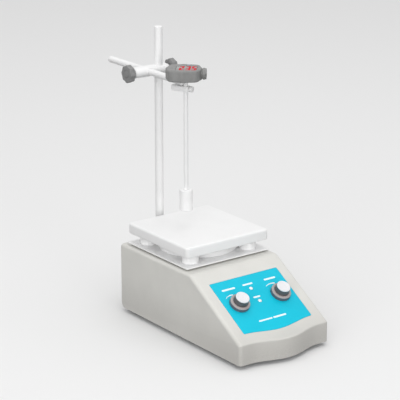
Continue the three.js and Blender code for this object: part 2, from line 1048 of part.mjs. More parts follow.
function knobCapSolid() {
  const rim = knob.rimRadius;
  const plugRadius = knob.capDiameter / 2 - rim - gap;
  const bottom = -knob.capSeat + gap;
  return turned([
    [0, bottom],
    [plugRadius, bottom],
    [plugRadius, 0],
    [knob.capDiameter / 2, 0],
    [knob.capDiameter / 2, knob.capHeight - rim],
    [knob.capDiameter / 2 - rim, knob.capHeight],
    [0, knob.capHeight],
  ], fineSteps);
}

function potSolid() {
  const body = solid(chamferedPin(pot.diameter, pot.depth, leastRadius, middleSteps)
    .translate(0, 0, -housing.wall - gap - pot.depth));
  const bushTop = panel.proud + pot.bushProud;
  const bushLength = bushTop + housing.wall + gap + overrun;
  const bush = solid(cylinder(pot.bushDiameter, bushLength, smallSteps)
    .translate(0, 0, -housing.wall - gap - overrun));
  const lugs = solid(block(pot.lugWidth, pot.lugDepth + pot.diameter / 2, pot.lugThickness)
    .translate(0, -(pot.lugDepth + pot.diameter / 2) / 2, -housing.wall - gap - pot.depth / 2));
  const shaftBore = solid(
    cylinder(pot.shaftDiameter + 2 * rod.running, bushTop + housing.wall + pot.depth / 2 + overrun)
      .translate(0, 0, -housing.wall - pot.depth / 2),
  );
  return cut(joined(body, bush, lugs), shaftBore);
}

function potShaftSolid() {
  const bottom = -housing.wall - pot.depth / 2 + gap;
  const top = panel.proud + gap + knob.shaftBoreDepth - gap;
  return cylinder(pot.shaftDiameter, top - bottom, smallSteps).translate(0, 0, bottom);
}

function lampSolid() {
  const radius = lamp.diameter / 2;
  const face = panel.proud;
  return turned([
    [0, face - lamp.stem],
    [radius, face - lamp.stem],
    [radius, face],
    ...lamp.domeShares.map(([across, up]) => [radius * across, face + lamp.domeHeight * up]),
    [0, face + lamp.domeHeight],
  ], middleSteps);
}

// Stirring drive

function bracketSolid() {
  const half = bracket.width / 2;
  const { sheet } = bracket;
  const bottom = basePlateTop + gap;
  const bend = bracket.bendRadius;
  const corners = [
    { u: -half - bracket.toeLength, v: bottom },
    { u: -half, v: bottom, radius: bend - sheet },
    { u: -half, v: bracketTop, radius: bend },
    { u: half, v: bracketTop, radius: bend },
    { u: half, v: bottom, radius: bend - sheet },
    { u: half + bracket.toeLength, v: bottom },
    { u: half + bracket.toeLength, v: bottom + sheet },
    { u: half + sheet, v: bottom + sheet, radius: leastRadius },
    { u: half + sheet, v: bracketTop + sheet, radius: bend + sheet },
    { u: -half - sheet, v: bracketTop + sheet, radius: bend + sheet },
    { u: -half - sheet, v: bottom + sheet, radius: leastRadius },
    { u: -half - bracket.toeLength, v: bottom + sheet },
  ];
  const shape = new THREE.Shape(filletedOutline(corners, edgeSteps));
  const hat = solid(alongYFromXZ(extruded(shape, bracket.depth)));
  const noseHole = solid(
    cylinder(motor.noseDiameter + 2 * gap, sheet + 2 * overrun)
      .translate(0, 0, bracketTop - overrun),
  );
  return cut(hat, noseHole);
}

// Turns an outline drawn in X and Z upright and centres its thickness on Y = 0

function alongYFromXZ(geometry) {
  geometry.rotateX(Math.PI / 2);
  geometry.computeBoundingBox();
  const { min, max } = geometry.boundingBox;
  return geometry.translate(0, -(min.y + max.y) / 2, 0);
}

function motorSolid() {
  const radius = motor.diameter / 2;
  const nose = motor.noseDiameter / 2;
  const top = bracketTop - gap;
  const bottom = top - motor.length;
  const noseTop = bracketTop + bracket.sheet;
  const body = solid(turned([
    [0, bottom],
    [radius - motor.edge, bottom],
    [radius, bottom + motor.edge],
    [radius, top - motor.edge],
    [radius - motor.edge, top],
    [nose, top],
    [nose, noseTop],
    [0, noseTop],
  ]));
  const bore = solid(
    cylinder(motor.shaftDiameter + 2 * rod.running, motor.length + motor.noseDiameter)
      .translate(0, 0, bottom + motor.edge),
  );
  return cut(body, bore);
}

function motorShaftSolid() {
  const bottom = bracketTop - motor.length + motor.edge;
  const top = rotorTop - rotor.thickness / 2 - gap;
  return cylinder(motor.shaftDiameter, top - bottom, smallSteps).translate(0, 0, bottom);
}

function magnetHolderSolid() {
  const disc = solid(chamferedPin(rotor.diameter, rotor.thickness, leastRadius, fineSteps)
    .translate(0, 0, rotorBottom));
  const hub = solid(cylinder(rotor.hubDiameter, rotor.hubHeight + overrun)
    .translate(0, 0, rotorBottom - rotor.hubHeight));
  const bore = solid(cylinder(
    motor.shaftDiameter + 2 * rod.running,
    rotor.hubHeight + rotor.thickness / 2 + overrun,
  ).translate(0, 0, rotorBottom - rotor.hubHeight - overrun));
  const pockets = [-1, 1].map((side) => (
    solid(block(rotor.magnetWidth + 2 * gap, rotor.magnetLength + 2 * gap, rotor.magnetDepth + gap
      + overrun).translate(side * rotor.magnetOffset, 0, rotorTop - rotor.magnetDepth - gap))
  ));
  return cut(joined(disc, hub), bore, ...pockets);
}

function magnetSolid(side) {
  return block(rotor.magnetWidth, rotor.magnetLength, rotor.magnetDepth)
    .translate(side * rotor.magnetOffset, 0, rotorTop - rotor.magnetDepth);
}

// Electrical pieces inside the housing

function boardSolid() {
  const sheet = solid(block(boardWidth, board.depth, board.thickness));
  const can = solid(
    chamferedPin(capacitor.diameter, capacitor.height, capacitor.edge, middleSteps).translate(
      boardWidth / 2 - capacitor.edgeDistance,
      0,
      board.thickness - capacitor.edge / 2,
    ),
  );
  return joined(sheet, can);
}

function heatSinkSolid() {
  const spine = solid(block(heatSink.width, heatSink.spine, heatSink.height));
  const pitch = (heatSink.width - heatSink.finThickness) / (heatSink.finCount - 1);
  const fins = [];
  for (let i = 0; i < heatSink.finCount; i += 1) {
    const x = -heatSink.width / 2 + heatSink.finThickness / 2 + i * pitch;
    fins.push(solid(block(heatSink.finThickness, heatSink.depth, heatSink.height)
      .translate(x, -heatSink.depth / 2, 0)));
  }
  return joined(spine, ...fins);
}

function transformerSolid() {
  const core = solid(block(transformer.width, transformer.depth, transformer.height));
  const coil = solid(
    extruded(
      roundedRectangle(transformer.coilWidth, transformer.coilDepth, transformer.coilRadius),
      transformer.coilHeight,
    ).translate(0, 0, (transformer.height - transformer.coilHeight) / 2),
  );
  return joined(core, coil);
}

function inletSolid() {
  const flange = solid(extruded(
    roundedRectangle(inlet.flangeWidth, inlet.flangeHeight, inlet.cornerRadius),
    inlet.flangeThickness,
    leastRadius,
  ).translate(0, 0, gap));
  const body = solid(extruded(
    roundedRectangle(inlet.bodyWidth, inlet.bodyHeight, inlet.cornerRadius),
    inlet.bodyDepth + gap + leastRadius * 2,
  ).translate(0, 0, -inlet.bodyDepth));
  const mouth = inlet.flangeThickness + gap;
  const recess = solid(extruded(
    roundedRectangle(inlet.recessWidth, inlet.recessHeight, inlet.cornerRadius),
    inlet.recessDepth + overrun,
  ).translate(0, 0, mouth - inlet.recessDepth));
  const pins = [[-1, -1], [0, 1], [1, -1]].map(([side, rise]) => (
    solid(block(inlet.pinWidth, inlet.pinHeight, inlet.pinLength + overrun)
      .translate(side * inlet.pinSpread, rise * inlet.pinRise, mouth - inlet.recessDepth - overrun))
  ));
  return joined(cut(joined(flange, body), recess), ...pins);
}

function fuseHolderSolid() {
  const barrel = fuse.barrelDiameter / 2;
  const flange = fuse.flangeDiameter / 2;
  const cap = fuse.capDiameter / 2;
  const face = gap + fuse.flangeThickness;
  const holder = solid(turned([
    [0, -fuse.barrelDepth],
    [barrel, -fuse.barrelDepth],
    [barrel, gap],
    [flange, gap],
    [flange, face],
    [cap, face],
    [cap, face + fuse.capReach - leastRadius],
    [cap - leastRadius, face + fuse.capReach],
    [0, face + fuse.capReach],
  ]));
  const slot = solid(block(fuse.capDiameter + 2 * overrun, fuse.slotWidth, fuse.slotDepth + overrun)
    .translate(0, 0, face + fuse.capReach - fuse.slotDepth));
  return cut(holder, slot);
}

// Support rod and its socket on the rear wall

function socketBoltPlaces() {
  const middle = socket.bottomHeight + socket.height / 2;
  return [-1, 1].map((side) => (
    { x: side * socket.boltOffset, z: middle + (side * socket.boltSpread) / 2 }
  ));
}

function socketSolid() {
  const depth = socket.rodOffset + rod.diameter / 2 + socket.backWall;
  const outline = roundedRectangle(socket.width, 2 * depth, socket.cornerRadius);
  const body = solid(extruded(outline, socket.height, leastRadius * 2))
    .intersect(solid(block(socket.width + 2 * overrun, depth + overrun, socket.height)
      .translate(0, (depth + overrun) / 2, 0)));
  const bore = solid(cylinder(2 * rodBore, socket.height - socket.floor + overrun)
    .translate(0, socket.rodOffset, socket.floor));
  const screwBore = solid(alongY(cylinder(setScrew.diameter + 2 * rod.running, depth))
    .translate(0, socket.rodOffset, socket.height / 2));
  const boltBores = socketBoltPlaces().map(({ x, z }) => (
    solid(alongY(cylinder(
      socket.boltDiameter + 2 * rod.running,
      socket.boltReach + overrun,
      smallSteps,
    )).translate(x, -overrun, z - socket.bottomHeight))
  ));
  return cut(body, bore, screwBore, ...boltBores);
}

function knurledHead(diameter, length, edge) {
  const points = lobedPoints(
    diameter / 2,
    diameter / 2,
    Math.SQRT1_2,
    setScrew.knurlCount,
    setScrew.knurlDepth,
    knurlSteps * setScrew.knurlCount,
  );
  return extruded(new THREE.Shape(points), length, edge);
}

function setScrewSolid() {
  const tip = rodBore;
  const face = rod.diameter / 2 + socket.backWall;
  const reach = face + setScrew.standoff + overrun - tip;
  const shank = solid(cylinder(setScrew.diameter, reach, smallSteps).translate(0, 0, tip));
  const head = solid(knurledHead(setScrew.headDiameter, setScrew.headLength, setScrew.headEdge)
    .translate(0, 0, face + setScrew.standoff));
  return joined(shank, head);
}

function socketBoltSolid() {
  const inner = -housing.wall - gap;
  const head = solid(chamferedPin(
    socket.boltHeadDiameter,
    socket.boltHeadHeight,
    leastRadius,
    smallSteps,
  ).translate(0, 0, inner - socket.boltHeadHeight));
  const shank = solid(cylinder(socket.boltDiameter, socket.boltReach - inner, smallSteps)
    .translate(0, 0, inner - leastRadius));
  return joined(head, shank);
}

function rodSolid() {
  return chamferedPin(rod.diameter, rod.length, rod.edge).translate(0, 0, rodBottom);
}

// Boss head, its clamp knobs and the arm

function bossSolid() {
  const length = boss.leftReach + boss.rightReach;
  const section = new THREE.Shape();
  section.absellipse(0, 0, boss.height / 2, boss.depth / 2, 0, 2 * Math.PI);
  const bar = solid(alongX(extruded(section, length, boss.edge, fineSteps / 4))
    .translate(-boss.leftReach, 0, 0));
  const neck = solid(alongX(chamferedPin(boss.neckDiameter, 2 * boss.neckLength, boss.edge / 2))
    .translate(boss.rightReach - boss.neckLength, 0, 0));
  const rodHole = solid(cylinder(2 * rodBore, boss.height + 2 * overrun)
    .translate(0, 0, -boss.height / 2 - overrun));
  const armHole = solid(alongY(cylinder(2 * armBore, boss.depth + 2 * overrun))
    .translate(armX, -boss.depth / 2 - overrun, 0));
  const screwHole = clampKnob.screwDiameter + 2 * rod.running;
  const leftHole = solid(alongX(cylinder(screwHole, boss.leftReach + armX + overrun))
    .translate(-boss.leftReach - overrun, 0, 0));
  const rightHole = solid(alongX(cylinder(screwHole, boss.rightReach + boss.neckLength + overrun))
    .translate(0, 0, 0));
  return cut(joined(bar, neck), rodHole, armHole, leftHole, rightHole);
}

function clampKnobSolid(screwLength) {
  const radius = clampKnob.diameter / 2;
  const points = lobedPoints(
    radius,
    radius,
    Math.SQRT1_2,
    clampKnob.lobeCount,
    clampKnob.lobeDepth,
    lobeSteps * clampKnob.lobeCount,
  );
  const grip = solid(extruded(new THREE.Shape(points), clampKnob.thickness, clampKnob.edge)
    .translate(0, 0, screwLength + clampKnob.collarLength));
  const collar = solid(cylinder(clampKnob.collarDiameter, clampKnob.collarLength + overrun)
    .translate(0, 0, screwLength));
  const screw = solid(cylinder(clampKnob.screwDiameter, screwLength + overrun, smallSteps));
  return joined(screw, collar, grip);
}

function armSolid() {
  const bar = solid(alongY(chamferedPin(arm.diameter, arm.length, arm.edge))
    .translate(0, armFrontY, 0));
  const pinHole = solid(cylinder(holder.pinDiameter + 2 * rod.running, arm.diameter + 2 * overrun)
    .translate(0, holder.pivotY, -arm.diameter / 2 - overrun));
  return cut(bar, pinHole);
}

// Holder under the arm's tip, with its pivot at the group's origin and its length along Y

function holderSolid() {
  const length = holder.frontLength + holder.rearLength;
  const bar = solid(extruded(
    roundedRectangle(holder.width, length, holder.cornerRadius),
    holder.height,
    leastRadius,
  ).translate(0, length / 2 - holder.frontLength, -holder.height));
  const stemHole = solid(cylinder(2 * stemBore, holder.height + 2 * overrun)
    .translate(0, -holder.stemOffset, -holder.height - overrun));
  const pinHole = solid(cylinder(holder.pinDiameter + 2 * rod.running, holder.height)
    .translate(0, 0, -holder.height + gap));
  const screwHole = solid(alongY(cylinder(
    holderScrew.diameter + 2 * rod.running,
    holder.frontLength - holder.stemOffset + overrun,
  )).translate(0, -holder.frontLength - overrun, -holder.height / 2));
  return cut(bar, stemHole, pinHole, screwHole);
}

function holderScrewSolid() {
  const tip = -holder.stemOffset - stemBore;
  const face = -holder.frontLength - gap;
  const shank = solid(alongY(cylinder(holderScrew.diameter, tip - face + overrun, smallSteps))
    .translate(0, face - overrun, 0));
  const head = solid(alongY(chamferedPin(
    holderScrew.headDiameter,
    holderScrew.headLength,
    holderScrew.headEdge,
  )).translate(0, face - holderScrew.headLength, 0));
  return joined(shank, head);
}

function pivotPinSolid() {
  const bottom = -holder.height + 2 * gap;
  const top = holder.washer + arm.diameter - gap;
  return cylinder(holder.pinDiameter, top - bottom, smallSteps).translate(0, 0, bottom);
}

// Stem thermometer, with the stem's axis at the group's origin

function caseForm() {
  const levels = [];
  for (let i = 0; i <= edgeSteps; i += 1) {
    const angle = (Math.PI * i) / (2 * edgeSteps);
    levels.push([
      thermometer.bellyRadius * (1 - Math.cos(angle)),
      thermometer.bellyRadius * (1 - Math.sin(angle)),
    ]);
  }
  for (let i = 0; i <= edgeSteps; i += 1) {
    const angle = (Math.PI * i) / (2 * edgeSteps);
    levels.push([
      thermometer.height - thermometer.rimRadius * (1 - Math.sin(angle)),
      thermometer.rimRadius * (1 - Math.cos(angle)),
    ]);
  }
  const rings = levels.map(([z, inset]) => (
    lobedPoints(
      thermometer.halfLength - inset,
      thermometer.halfDepth - inset,
      thermometer.cornerShare,
      thermometer.lobeCount,
      thermometer.lobeDepth,
      (lobeSteps + 1) * thermometer.lobeCount,
    ).map((point) => new THREE.Vector3(point.x + caseX, point.y + caseY, z))
  ));
  return loft(rings, (point) => new THREE.Vector2(point.x, point.y));
}

function caseSolid() {
  const window = solid(extruded(
    roundedRectangle(display.width + 2 * gap, display.depth + 2 * gap, display.cornerRadius + gap),
    display.thickness + gap + overrun,
  ).translate(
    caseX + display.sideShift,
    caseY - display.forward,
    thermometer.height - display.thickness - gap,
  ));
  const stemHole = solid(cylinder(thermometer.stemDiameter + 2 * gap, thermometer.stemSocket
    + gap + overrun).translate(0, 0, -overrun));
  const buttonHole = solid(cylinder(
    button.diameter + 2 * gap,
    button.seat + button.travel + gap + overrun,
  ).translate(
    caseX + button.sideShift,
    caseY + button.offset,
    thermometer.height - button.seat - button.travel - gap,
  ));
  const seatX = caseX + thermometer.halfLength - batteryCap.seat;
  const capSeat = solid(alongX(cylinder(batteryCap.diameter + 2 * gap, batteryCap.reach))
    .translate(seatX, caseY, thermometer.height / 2));
  return cut(solid(caseForm()), window, stemHole, buttonHole, capSeat);
}

function batteryCapSolid() {
  const face = caseX + thermometer.halfLength;
  const start = face - batteryCap.seat + gap;
  const plug = solid(alongX(chamferedPin(
    batteryCap.diameter,
    batteryCap.reach - start,
    batteryCap.edge,
  )).translate(start, 0, 0));
  const collar = solid(alongX(chamferedPin(
    batteryCap.collarDiameter,
    batteryCap.collarLength,
    batteryCap.edge,
  )).translate(face + gap, 0, 0));
  const slot = solid(alongX(block(
    batteryCap.slotWidth,
    batteryCap.diameter + 2 * overrun,
    batteryCap.slotDepth + overrun,
  )).translate(batteryCap.reach - batteryCap.slotDepth, 0, 0));
  return cut(joined(plug, collar), slot);
}

function displaySolid() {
  return extruded(
    roundedRectangle(display.width, display.depth, display.cornerRadius),
    display.thickness,
  );
}

function buttonSolid() {
  return chamferedPin(button.diameter, button.seat + button.proud, leastRadius, middleSteps);
}

function stemSolid() {
  const bottom = sleeveBottom + thermometer.sleeveFloor + gap;
  return cylinder(thermometer.stemDiameter, caseBottom + thermometer.stemSocket - bottom)
    .translate(0, 0, bottom - caseBottom);
}

function sleeveSolid() {
  const body = solid(chamferedPin(
    thermometer.sleeveDiameter,
    thermometer.sleeveLength,
    thermometer.sleeveEdge,
    fineSteps,
  ));
  const bore = solid(cylinder(thermometer.stemDiameter + 2 * gap, thermometer.sleeveLength)
    .translate(0, 0, thermometer.sleeveFloor));
  return cut(body, bore);
}

// Assembly

const stirrer = new THREE.Group();
stirrer.position.set(0, -outlineMiddleY, foot.height);

function placed(object, x, y, z) {
  object.position.set(x, y, z);
  return object;
}

stirrer.add(piece('housing', housingShell(), finishes.housing()));
stirrer.add(piece('base_plate', basePlateSolid(), finishes.sheet()));
footPlaces.forEach(({ x, y }, i) => {
  const number = i + 1;
  stirrer.add(placed(piece(`foot_${number}`, footSolid(), finishes.rubber()), x, y, -foot.height));
  stirrer.add(placed(
    piece(`foot_screw_${number}`, footScrewSolid(), finishes.steel()),
    x,
    y,
    footScrewHeight(),
  ));
});

stirrer.add(placed(piece('heat_shield', shieldSolid(), finishes.shield()), 0, 0, shieldBottom));
postPlaces.forEach(({ x, y }, i) => {
  stirrer.add(placed(
    piece(`plate_post_${i + 1}`, postSolid(), finishes.shield()),
    x,
    y,
    housing.height,
  ));
});
stirrer.add(placed(piece('top_plate', plateSolid(), finishes.enamel()), 0, 0, plateBottom));
const heaterBottom = plateTop - plate.skin - gap - heater.thickness;
stirrer.add(placed(piece('heater_element', heaterSolid(), finishes.mica()), 0, 0, heaterBottom));
stirrer.add(placed(
  piece('insulation_pad', insulationSolid(), finishes.wool()),
  0,
  0,
  heaterBottom - gap - insulation.thickness,
));
stirrer.add(placed(
  piece('heater_cover', heaterCoverSolid(), finishes.sheet()),
  0,
  0,
  plateBottom,
));
stirrer.add(placed(
  piece('heater_sensor', sensorSolid(heaterBottom - gap - plateBottom), finishes.steel()),
  sensor.offset,
  0,
  plateBottom - sensor.reach,
));

const slope = new THREE.Group();
slope.position.set(0, housing.crestY, housing.height);
slope.rotation.x = slopeAngle;
stirrer.add(slope);

function panelSolid() {
  const sheet = solid(extruded(panelOutline(0), panel.thickness)
    .translate(0, 0, panel.proud - panel.thickness));
  const hole = (x, distance, diameter) => solid(
    cylinder(diameter + 2 * gap, panel.thickness + 2 * overrun)
      .translate(x, -distance, panel.proud - panel.thickness - overrun),
  );
  return cut(
    sheet,
    hole(-knobX, knob.slopeDistance, pot.bushDiameter),
    hole(knobX, knob.slopeDistance, pot.bushDiameter),
    hole(lampX, lamp.upperDistance, lamp.diameter),
    hole(lampX, lamp.lowerDistance, lamp.diameter),
  );
}

slope.add(piece('control_panel', panelSolid(), finishes.panel()));
slope.add(placed(
  piece('power_lamp', lampSolid(), finishes.lampWhite()),
  lampX,
  -lamp.upperDistance,
  0,
));
slope.add(placed(
  piece('heat_lamp', lampSolid(), finishes.lampWhite()),
  lampX,
  -lamp.lowerDistance,
  0,
));

for (const [name, side] of [['stir', -1], ['heat', 1]]) {
  const group = new THREE.Group();
  group.position.set(side * knobX, -knob.slopeDistance, 0);
  group.add(piece(`${name}_pot`, potSolid(), finishes.black()));
  group.add(piece(`${name}_pot_shaft`, potShaftSolid(), finishes.steel()));
  group.add(placed(
    piece(`${name}_knob`, knobSolid(), finishes.knobGrey()),
    0,
    0,
    panel.proud + gap,
  ));
  group.add(placed(
    piece(`${name}_knob_cap`, knobCapSolid(), finishes.knobCap()),
    0,
    0,
    panel.proud + gap + knob.height - knob.capHeight,
  ));
  slope.add(group);
}

stirrer.add(piece('motor_bracket', bracketSolid(), finishes.sheet()));
stirrer.add(piece('motor_body', motorSolid(), finishes.steel()));
stirrer.add(piece('motor_shaft', motorShaftSolid(), finishes.steel()));
stirrer.add(piece('magnet_holder', magnetHolderSolid(), finishes.nylon()));
stirrer.add(piece('drive_magnet_left', magnetSolid(-1), finishes.magnet()));
stirrer.add(piece('drive_magnet_right', magnetSolid(1), finishes.magnet()));

const boardBottom = basePlateTop + board.standoff + gap;
const boardTop = boardBottom + board.thickness;
stirrer.add(placed(
  piece('control_board', boardSolid(), finishes.boardGreen()),
  0,
  boardY,
  boardBottom,
));
stirrer.add(placed(
  piece('heat_sink', heatSinkSolid(), finishes.steel()),
  heatSink.edgeDistance - boardWidth / 2,
  boardY,
  boardTop + gap,
));
stirrer.add(placed(
  piece('transformer', transformerSolid(), finishes.coil()),
  transformer.sideDistance - housing.width / 2,
  housing.rearY - transformer.rearDistance,
  basePlateTop + gap,
));

const rearInlet = piece('mains_inlet', inletSolid(), finishes.black());
rearInlet.rotation.set(-Math.PI / 2, 0, 0);
stirrer.add(placed(rearInlet, rearBayX, housing.rearY, inlet.centreHeight));
const rearFuse = piece('fuse_holder', fuseHolderSolid(), finishes.black());
rearFuse.rotation.set(-Math.PI / 2, 0, 0);
stirrer.add(placed(rearFuse, -rearBayX, housing.rearY, fuse.centreHeight));

stirrer.add(placed(
  piece('rod_socket', socketSolid(), finishes.housing()),
  0,
  housing.rearY + gap,
  socket.bottomHeight,
));
const socketScrew = piece('socket_screw', setScrewSolid(), finishes.clampGrey());
socketScrew.rotation.set(-Math.PI / 2, 0, 0);
stirrer.add(placed(socketScrew, 0, rodY, socket.bottomHeight + socket.height / 2));
socketBoltPlaces().forEach(({ x, z }, i) => {
  const bolt = piece(`socket_bolt_${i + 1}`, socketBoltSolid(), finishes.steel());
  bolt.rotation.set(-Math.PI / 2, 0, 0);
  stirrer.add(placed(bolt, x, housing.rearY, z));
});

stirrer.add(placed(piece('support_rod', rodSolid(), finishes.coatedRod()), 0, rodY, 0));

const bossGroup = new THREE.Group();
bossGroup.position.set(0, rodY, bossHeight);
stirrer.add(bossGroup);
bossGroup.add(piece('boss_head', bossSolid(), finishes.coatedRod()));
const armScrewLength = boss.leftReach - boss.armOffset - armBore + gap;
const armKnob = piece('arm_clamp_knob', clampKnobSolid(armScrewLength), finishes.clampGrey());
armKnob.rotation.set(0, -Math.PI / 2, 0);
bossGroup.add(placed(armKnob, armX - armBore, 0, 0));
const rodScrewLength = boss.rightReach + boss.neckLength - rodBore + gap;
const rodKnob = piece('rod_clamp_knob', clampKnobSolid(rodScrewLength), finishes.clampGrey());
rodKnob.rotation.set(0, Math.PI / 2, 0);
bossGroup.add(placed(rodKnob, rodBore, 0, 0));

stirrer.add(placed(
  piece('arm', armSolid(), finishes.coatedRod()),
  armX,
  0,
  bossHeight,
));

const holderGroup = new THREE.Group();
holderGroup.position.set(armX, holder.pivotY, holderTop);
holderGroup.rotation.z = holderAngle;
stirrer.add(holderGroup);
holderGroup.add(piece('probe_holder', holderSolid(), finishes.coatedRod()));
holderGroup.add(placed(
  piece('holder_screw', holderScrewSolid(), finishes.coatedRod()),
  0,
  0,
  -holder.height / 2,
));
stirrer.add(placed(
  piece('holder_pivot_pin', pivotPinSolid(), finishes.steel()),
  armX,
  holder.pivotY,
  holderTop,
));

const gauge = new THREE.Group();
gauge.position.set(stemX, stemY, caseBottom);
gauge.rotation.z = THREE.MathUtils.degToRad(thermometer.turnDegrees);
stirrer.add(gauge);
gauge.add(piece('thermometer_case', caseSolid(), finishes.caseGrey()));
gauge.add(placed(
  piece('battery_cap', batteryCapSolid(), finishes.caseGrey()),
  0,
  caseY,
  thermometer.height / 2,
));
gauge.add(placed(
  piece('display_window', displaySolid(), finishes.window()),
  caseX + display.sideShift,
  caseY - display.forward,
  thermometer.height - display.thickness,
));
gauge.add(placed(
  piece('display_button', buttonSolid(), finishes.knobCap()),
  caseX + button.sideShift,
  caseY + button.offset,
  thermometer.height - button.seat,
));
gauge.add(piece('probe_stem', stemSolid(), finishes.coatedRod()));
gauge.add(placed(
  piece('probe_sleeve', sleeveSolid(), finishes.coatedRod()),
  0,
  0,
  sleeveBottom - caseBottom,
));

export default stirrer;
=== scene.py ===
"""Hotplate stirrer with a rod, a boss head and a stem thermometer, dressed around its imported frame.

Sizes are in millimetres and colours in display values from 0 to 255. Each piece is built in its own
small frame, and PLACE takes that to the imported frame, in metres.
"""

import math

import bmesh
import bpy
from mathutils import Matrix, Vector
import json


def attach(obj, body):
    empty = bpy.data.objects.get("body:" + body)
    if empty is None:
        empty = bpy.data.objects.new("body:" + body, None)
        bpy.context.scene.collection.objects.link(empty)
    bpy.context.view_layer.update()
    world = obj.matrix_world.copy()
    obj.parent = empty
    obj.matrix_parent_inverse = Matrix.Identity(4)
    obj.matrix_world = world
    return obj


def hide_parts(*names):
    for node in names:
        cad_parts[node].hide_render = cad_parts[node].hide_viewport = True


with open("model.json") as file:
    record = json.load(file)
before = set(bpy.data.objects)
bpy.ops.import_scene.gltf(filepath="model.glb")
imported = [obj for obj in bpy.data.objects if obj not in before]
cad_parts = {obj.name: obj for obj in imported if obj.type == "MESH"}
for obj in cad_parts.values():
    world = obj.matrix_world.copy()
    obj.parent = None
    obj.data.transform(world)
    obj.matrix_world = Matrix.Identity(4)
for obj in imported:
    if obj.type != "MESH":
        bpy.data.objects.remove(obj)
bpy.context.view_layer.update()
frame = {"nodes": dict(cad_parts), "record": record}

MM = 0.001

# The stirrer's own frame: plate centre over X = Y = 0, housing rim at Z = 0, front towards -Y

FOOT_HEIGHT = 5.0
MIDDLE_Y = -9.95
PLACE = Matrix.Translation((0.0, -MIDDLE_Y * MM, FOOT_HEIGHT * MM)) @ Matrix.Scale(MM, 4)

HERE = Matrix.Identity(4)
TO_X = Matrix.Rotation(math.pi / 2, 4, "Y")
TO_Y = Matrix.Rotation(-math.pi / 2, 4, "X")


def at(x, y, z):
    return Matrix.Translation((x, y, z))


# Housing: roof, crest, slope down to the shoulder, and the wavy nose in front of it

WIDTH, ROOF, WALL = 129.3, 81.4, 2.6
REAR_Y, CREST_Y, SHOULDER_Y, LIP = 71.0, -70.6, -165.6, 24.2
NOSE_REACH, NOSE_HALF, NOSE_BLEND = 10.8, 50.0, 9.0
SIDE_R, CREST_R, LIP_R, REAR_TOP_R, REAR_BOTTOM_R, LEAST_R = 4.0, 12.0, 2.2, 5.0, 9.0, 0.4
RIM_STEP = 1.5
SLOPE = math.atan2(ROOF - LIP, CREST_Y - SHOULDER_Y)
SLOPE_LENGTH = math.hypot(ROOF - LIP, CREST_Y - SHOULDER_Y)
ON_SLOPE = at(0, CREST_Y, ROOF) @ Matrix.Rotation(SLOPE, 4, "X")
ROTOR_HOLE = 64.0

# Control panel, placed by the distance down the slope from the crest

PANEL_HALF, PANEL_CORNER, PANEL_START, PANEL_END, PANEL_WAVE = 49.3, 1.5, 20.0, 96.4, 5.4
PANEL_GAP = 0.3
KNOB_X, KNOB_DISTANCE, KNOB_HOLE, KNOB_HEIGHT = 30.0, 56.6, 7.6, 12.7
LAMP_X, LAMP_HOLE = -1.2, 5.0
LAMPS = (("power_lamp", 39.3), ("heat_lamp", 58.7))
SLOPE_HOLES = (
    (-KNOB_X, KNOB_DISTANCE, KNOB_HOLE), (KNOB_X, KNOB_DISTANCE, KNOB_HOLE),
    *((LAMP_X, distance, LAMP_HOLE) for name, distance in LAMPS),
)

# Plate, shield and rear wall

SHIELD_Z, PLATE_Z, PLATE_SIDE, PLATE_T = 83.65, 96.3, 120.0, 12.95
POST_X = 42.0
REAR_X, FITTING_Z = 38.575, 25.0
INLET_ON_WALL = at(REAR_X, REAR_Y, FITTING_Z) @ TO_Y
FUSE_ON_WALL = at(-REAR_X, REAR_Y, FITTING_Z) @ TO_Y
FUSE_HOLE = 12.6
VENT_COUNT, VENT_Z, VENT_PITCH = 5, 45.0, 5.0

# Stand, arm and thermometer

ROD_Y, BOSS_Z = 78.5, 285.5
ARM_X, PIVOT_Y = -16.5, 10.0
SHAFT_HOLE = 5.3
STEM_OFFSET = 6.1
HOLDER_Z = BOSS_Z - 4.3
HOLDER = at(ARM_X, PIVOT_Y, HOLDER_Z) @ Matrix.Rotation(math.radians(25), 4, "Z")
STEM = HOLDER @ Vector((0, -STEM_OFFSET, 0))
ON_STEM = at(STEM.x, STEM.y, 0)
CASE_X, CASE_Y, CASE_H = -3.1, -2.6, 14.0
CASE = at(STEM.x, STEM.y, BOSS_Z + 4.3) @ Matrix.Rotation(math.radians(-41), 4, "Z")
BUTTON_X, BUTTON_Y = CASE_X + 5.6, CASE_Y + 12.4


# Node trees

MIX_SHARE, MIX_FIRST, MIX_SECOND, MIX_COLOUR = 0, 6, 7, 2
NARROW_BAND, WIDE_BAND = (0.35, 0.65), (0.3, 0.7)
EDGE_BAND, CHIP_BAND, WORN_SHARE, RUBBED_SHARE = (0.54, 0.66), (0.45, 0.6), 0.5, 0.45

# Painted shade: the housing's paint is darker low down and mostly in front, where its front lip lies
# in shade. Both bands are in metres.
PAINTED_SHADE_HEIGHTS, PAINTED_SHADE_DEPTHS, PAINTED_SHADE_AT_REAR = (0.012, 0.05), (-0.135, -0.05), 0.45


def rgb(r, g, b):
    """Linear colour from 0-255 display values."""
    def linear(v):
        v /= 255
        return v / 12.92 if v <= 0.04045 else ((v + 0.055) / 1.055) ** 2.4
    return (linear(r), linear(g), linear(b), 1.0)


def scaled(colour, factor, more=0.0):
    return tuple(min(1.0, c * factor + more) for c in colour[:3]) + (1.0,)


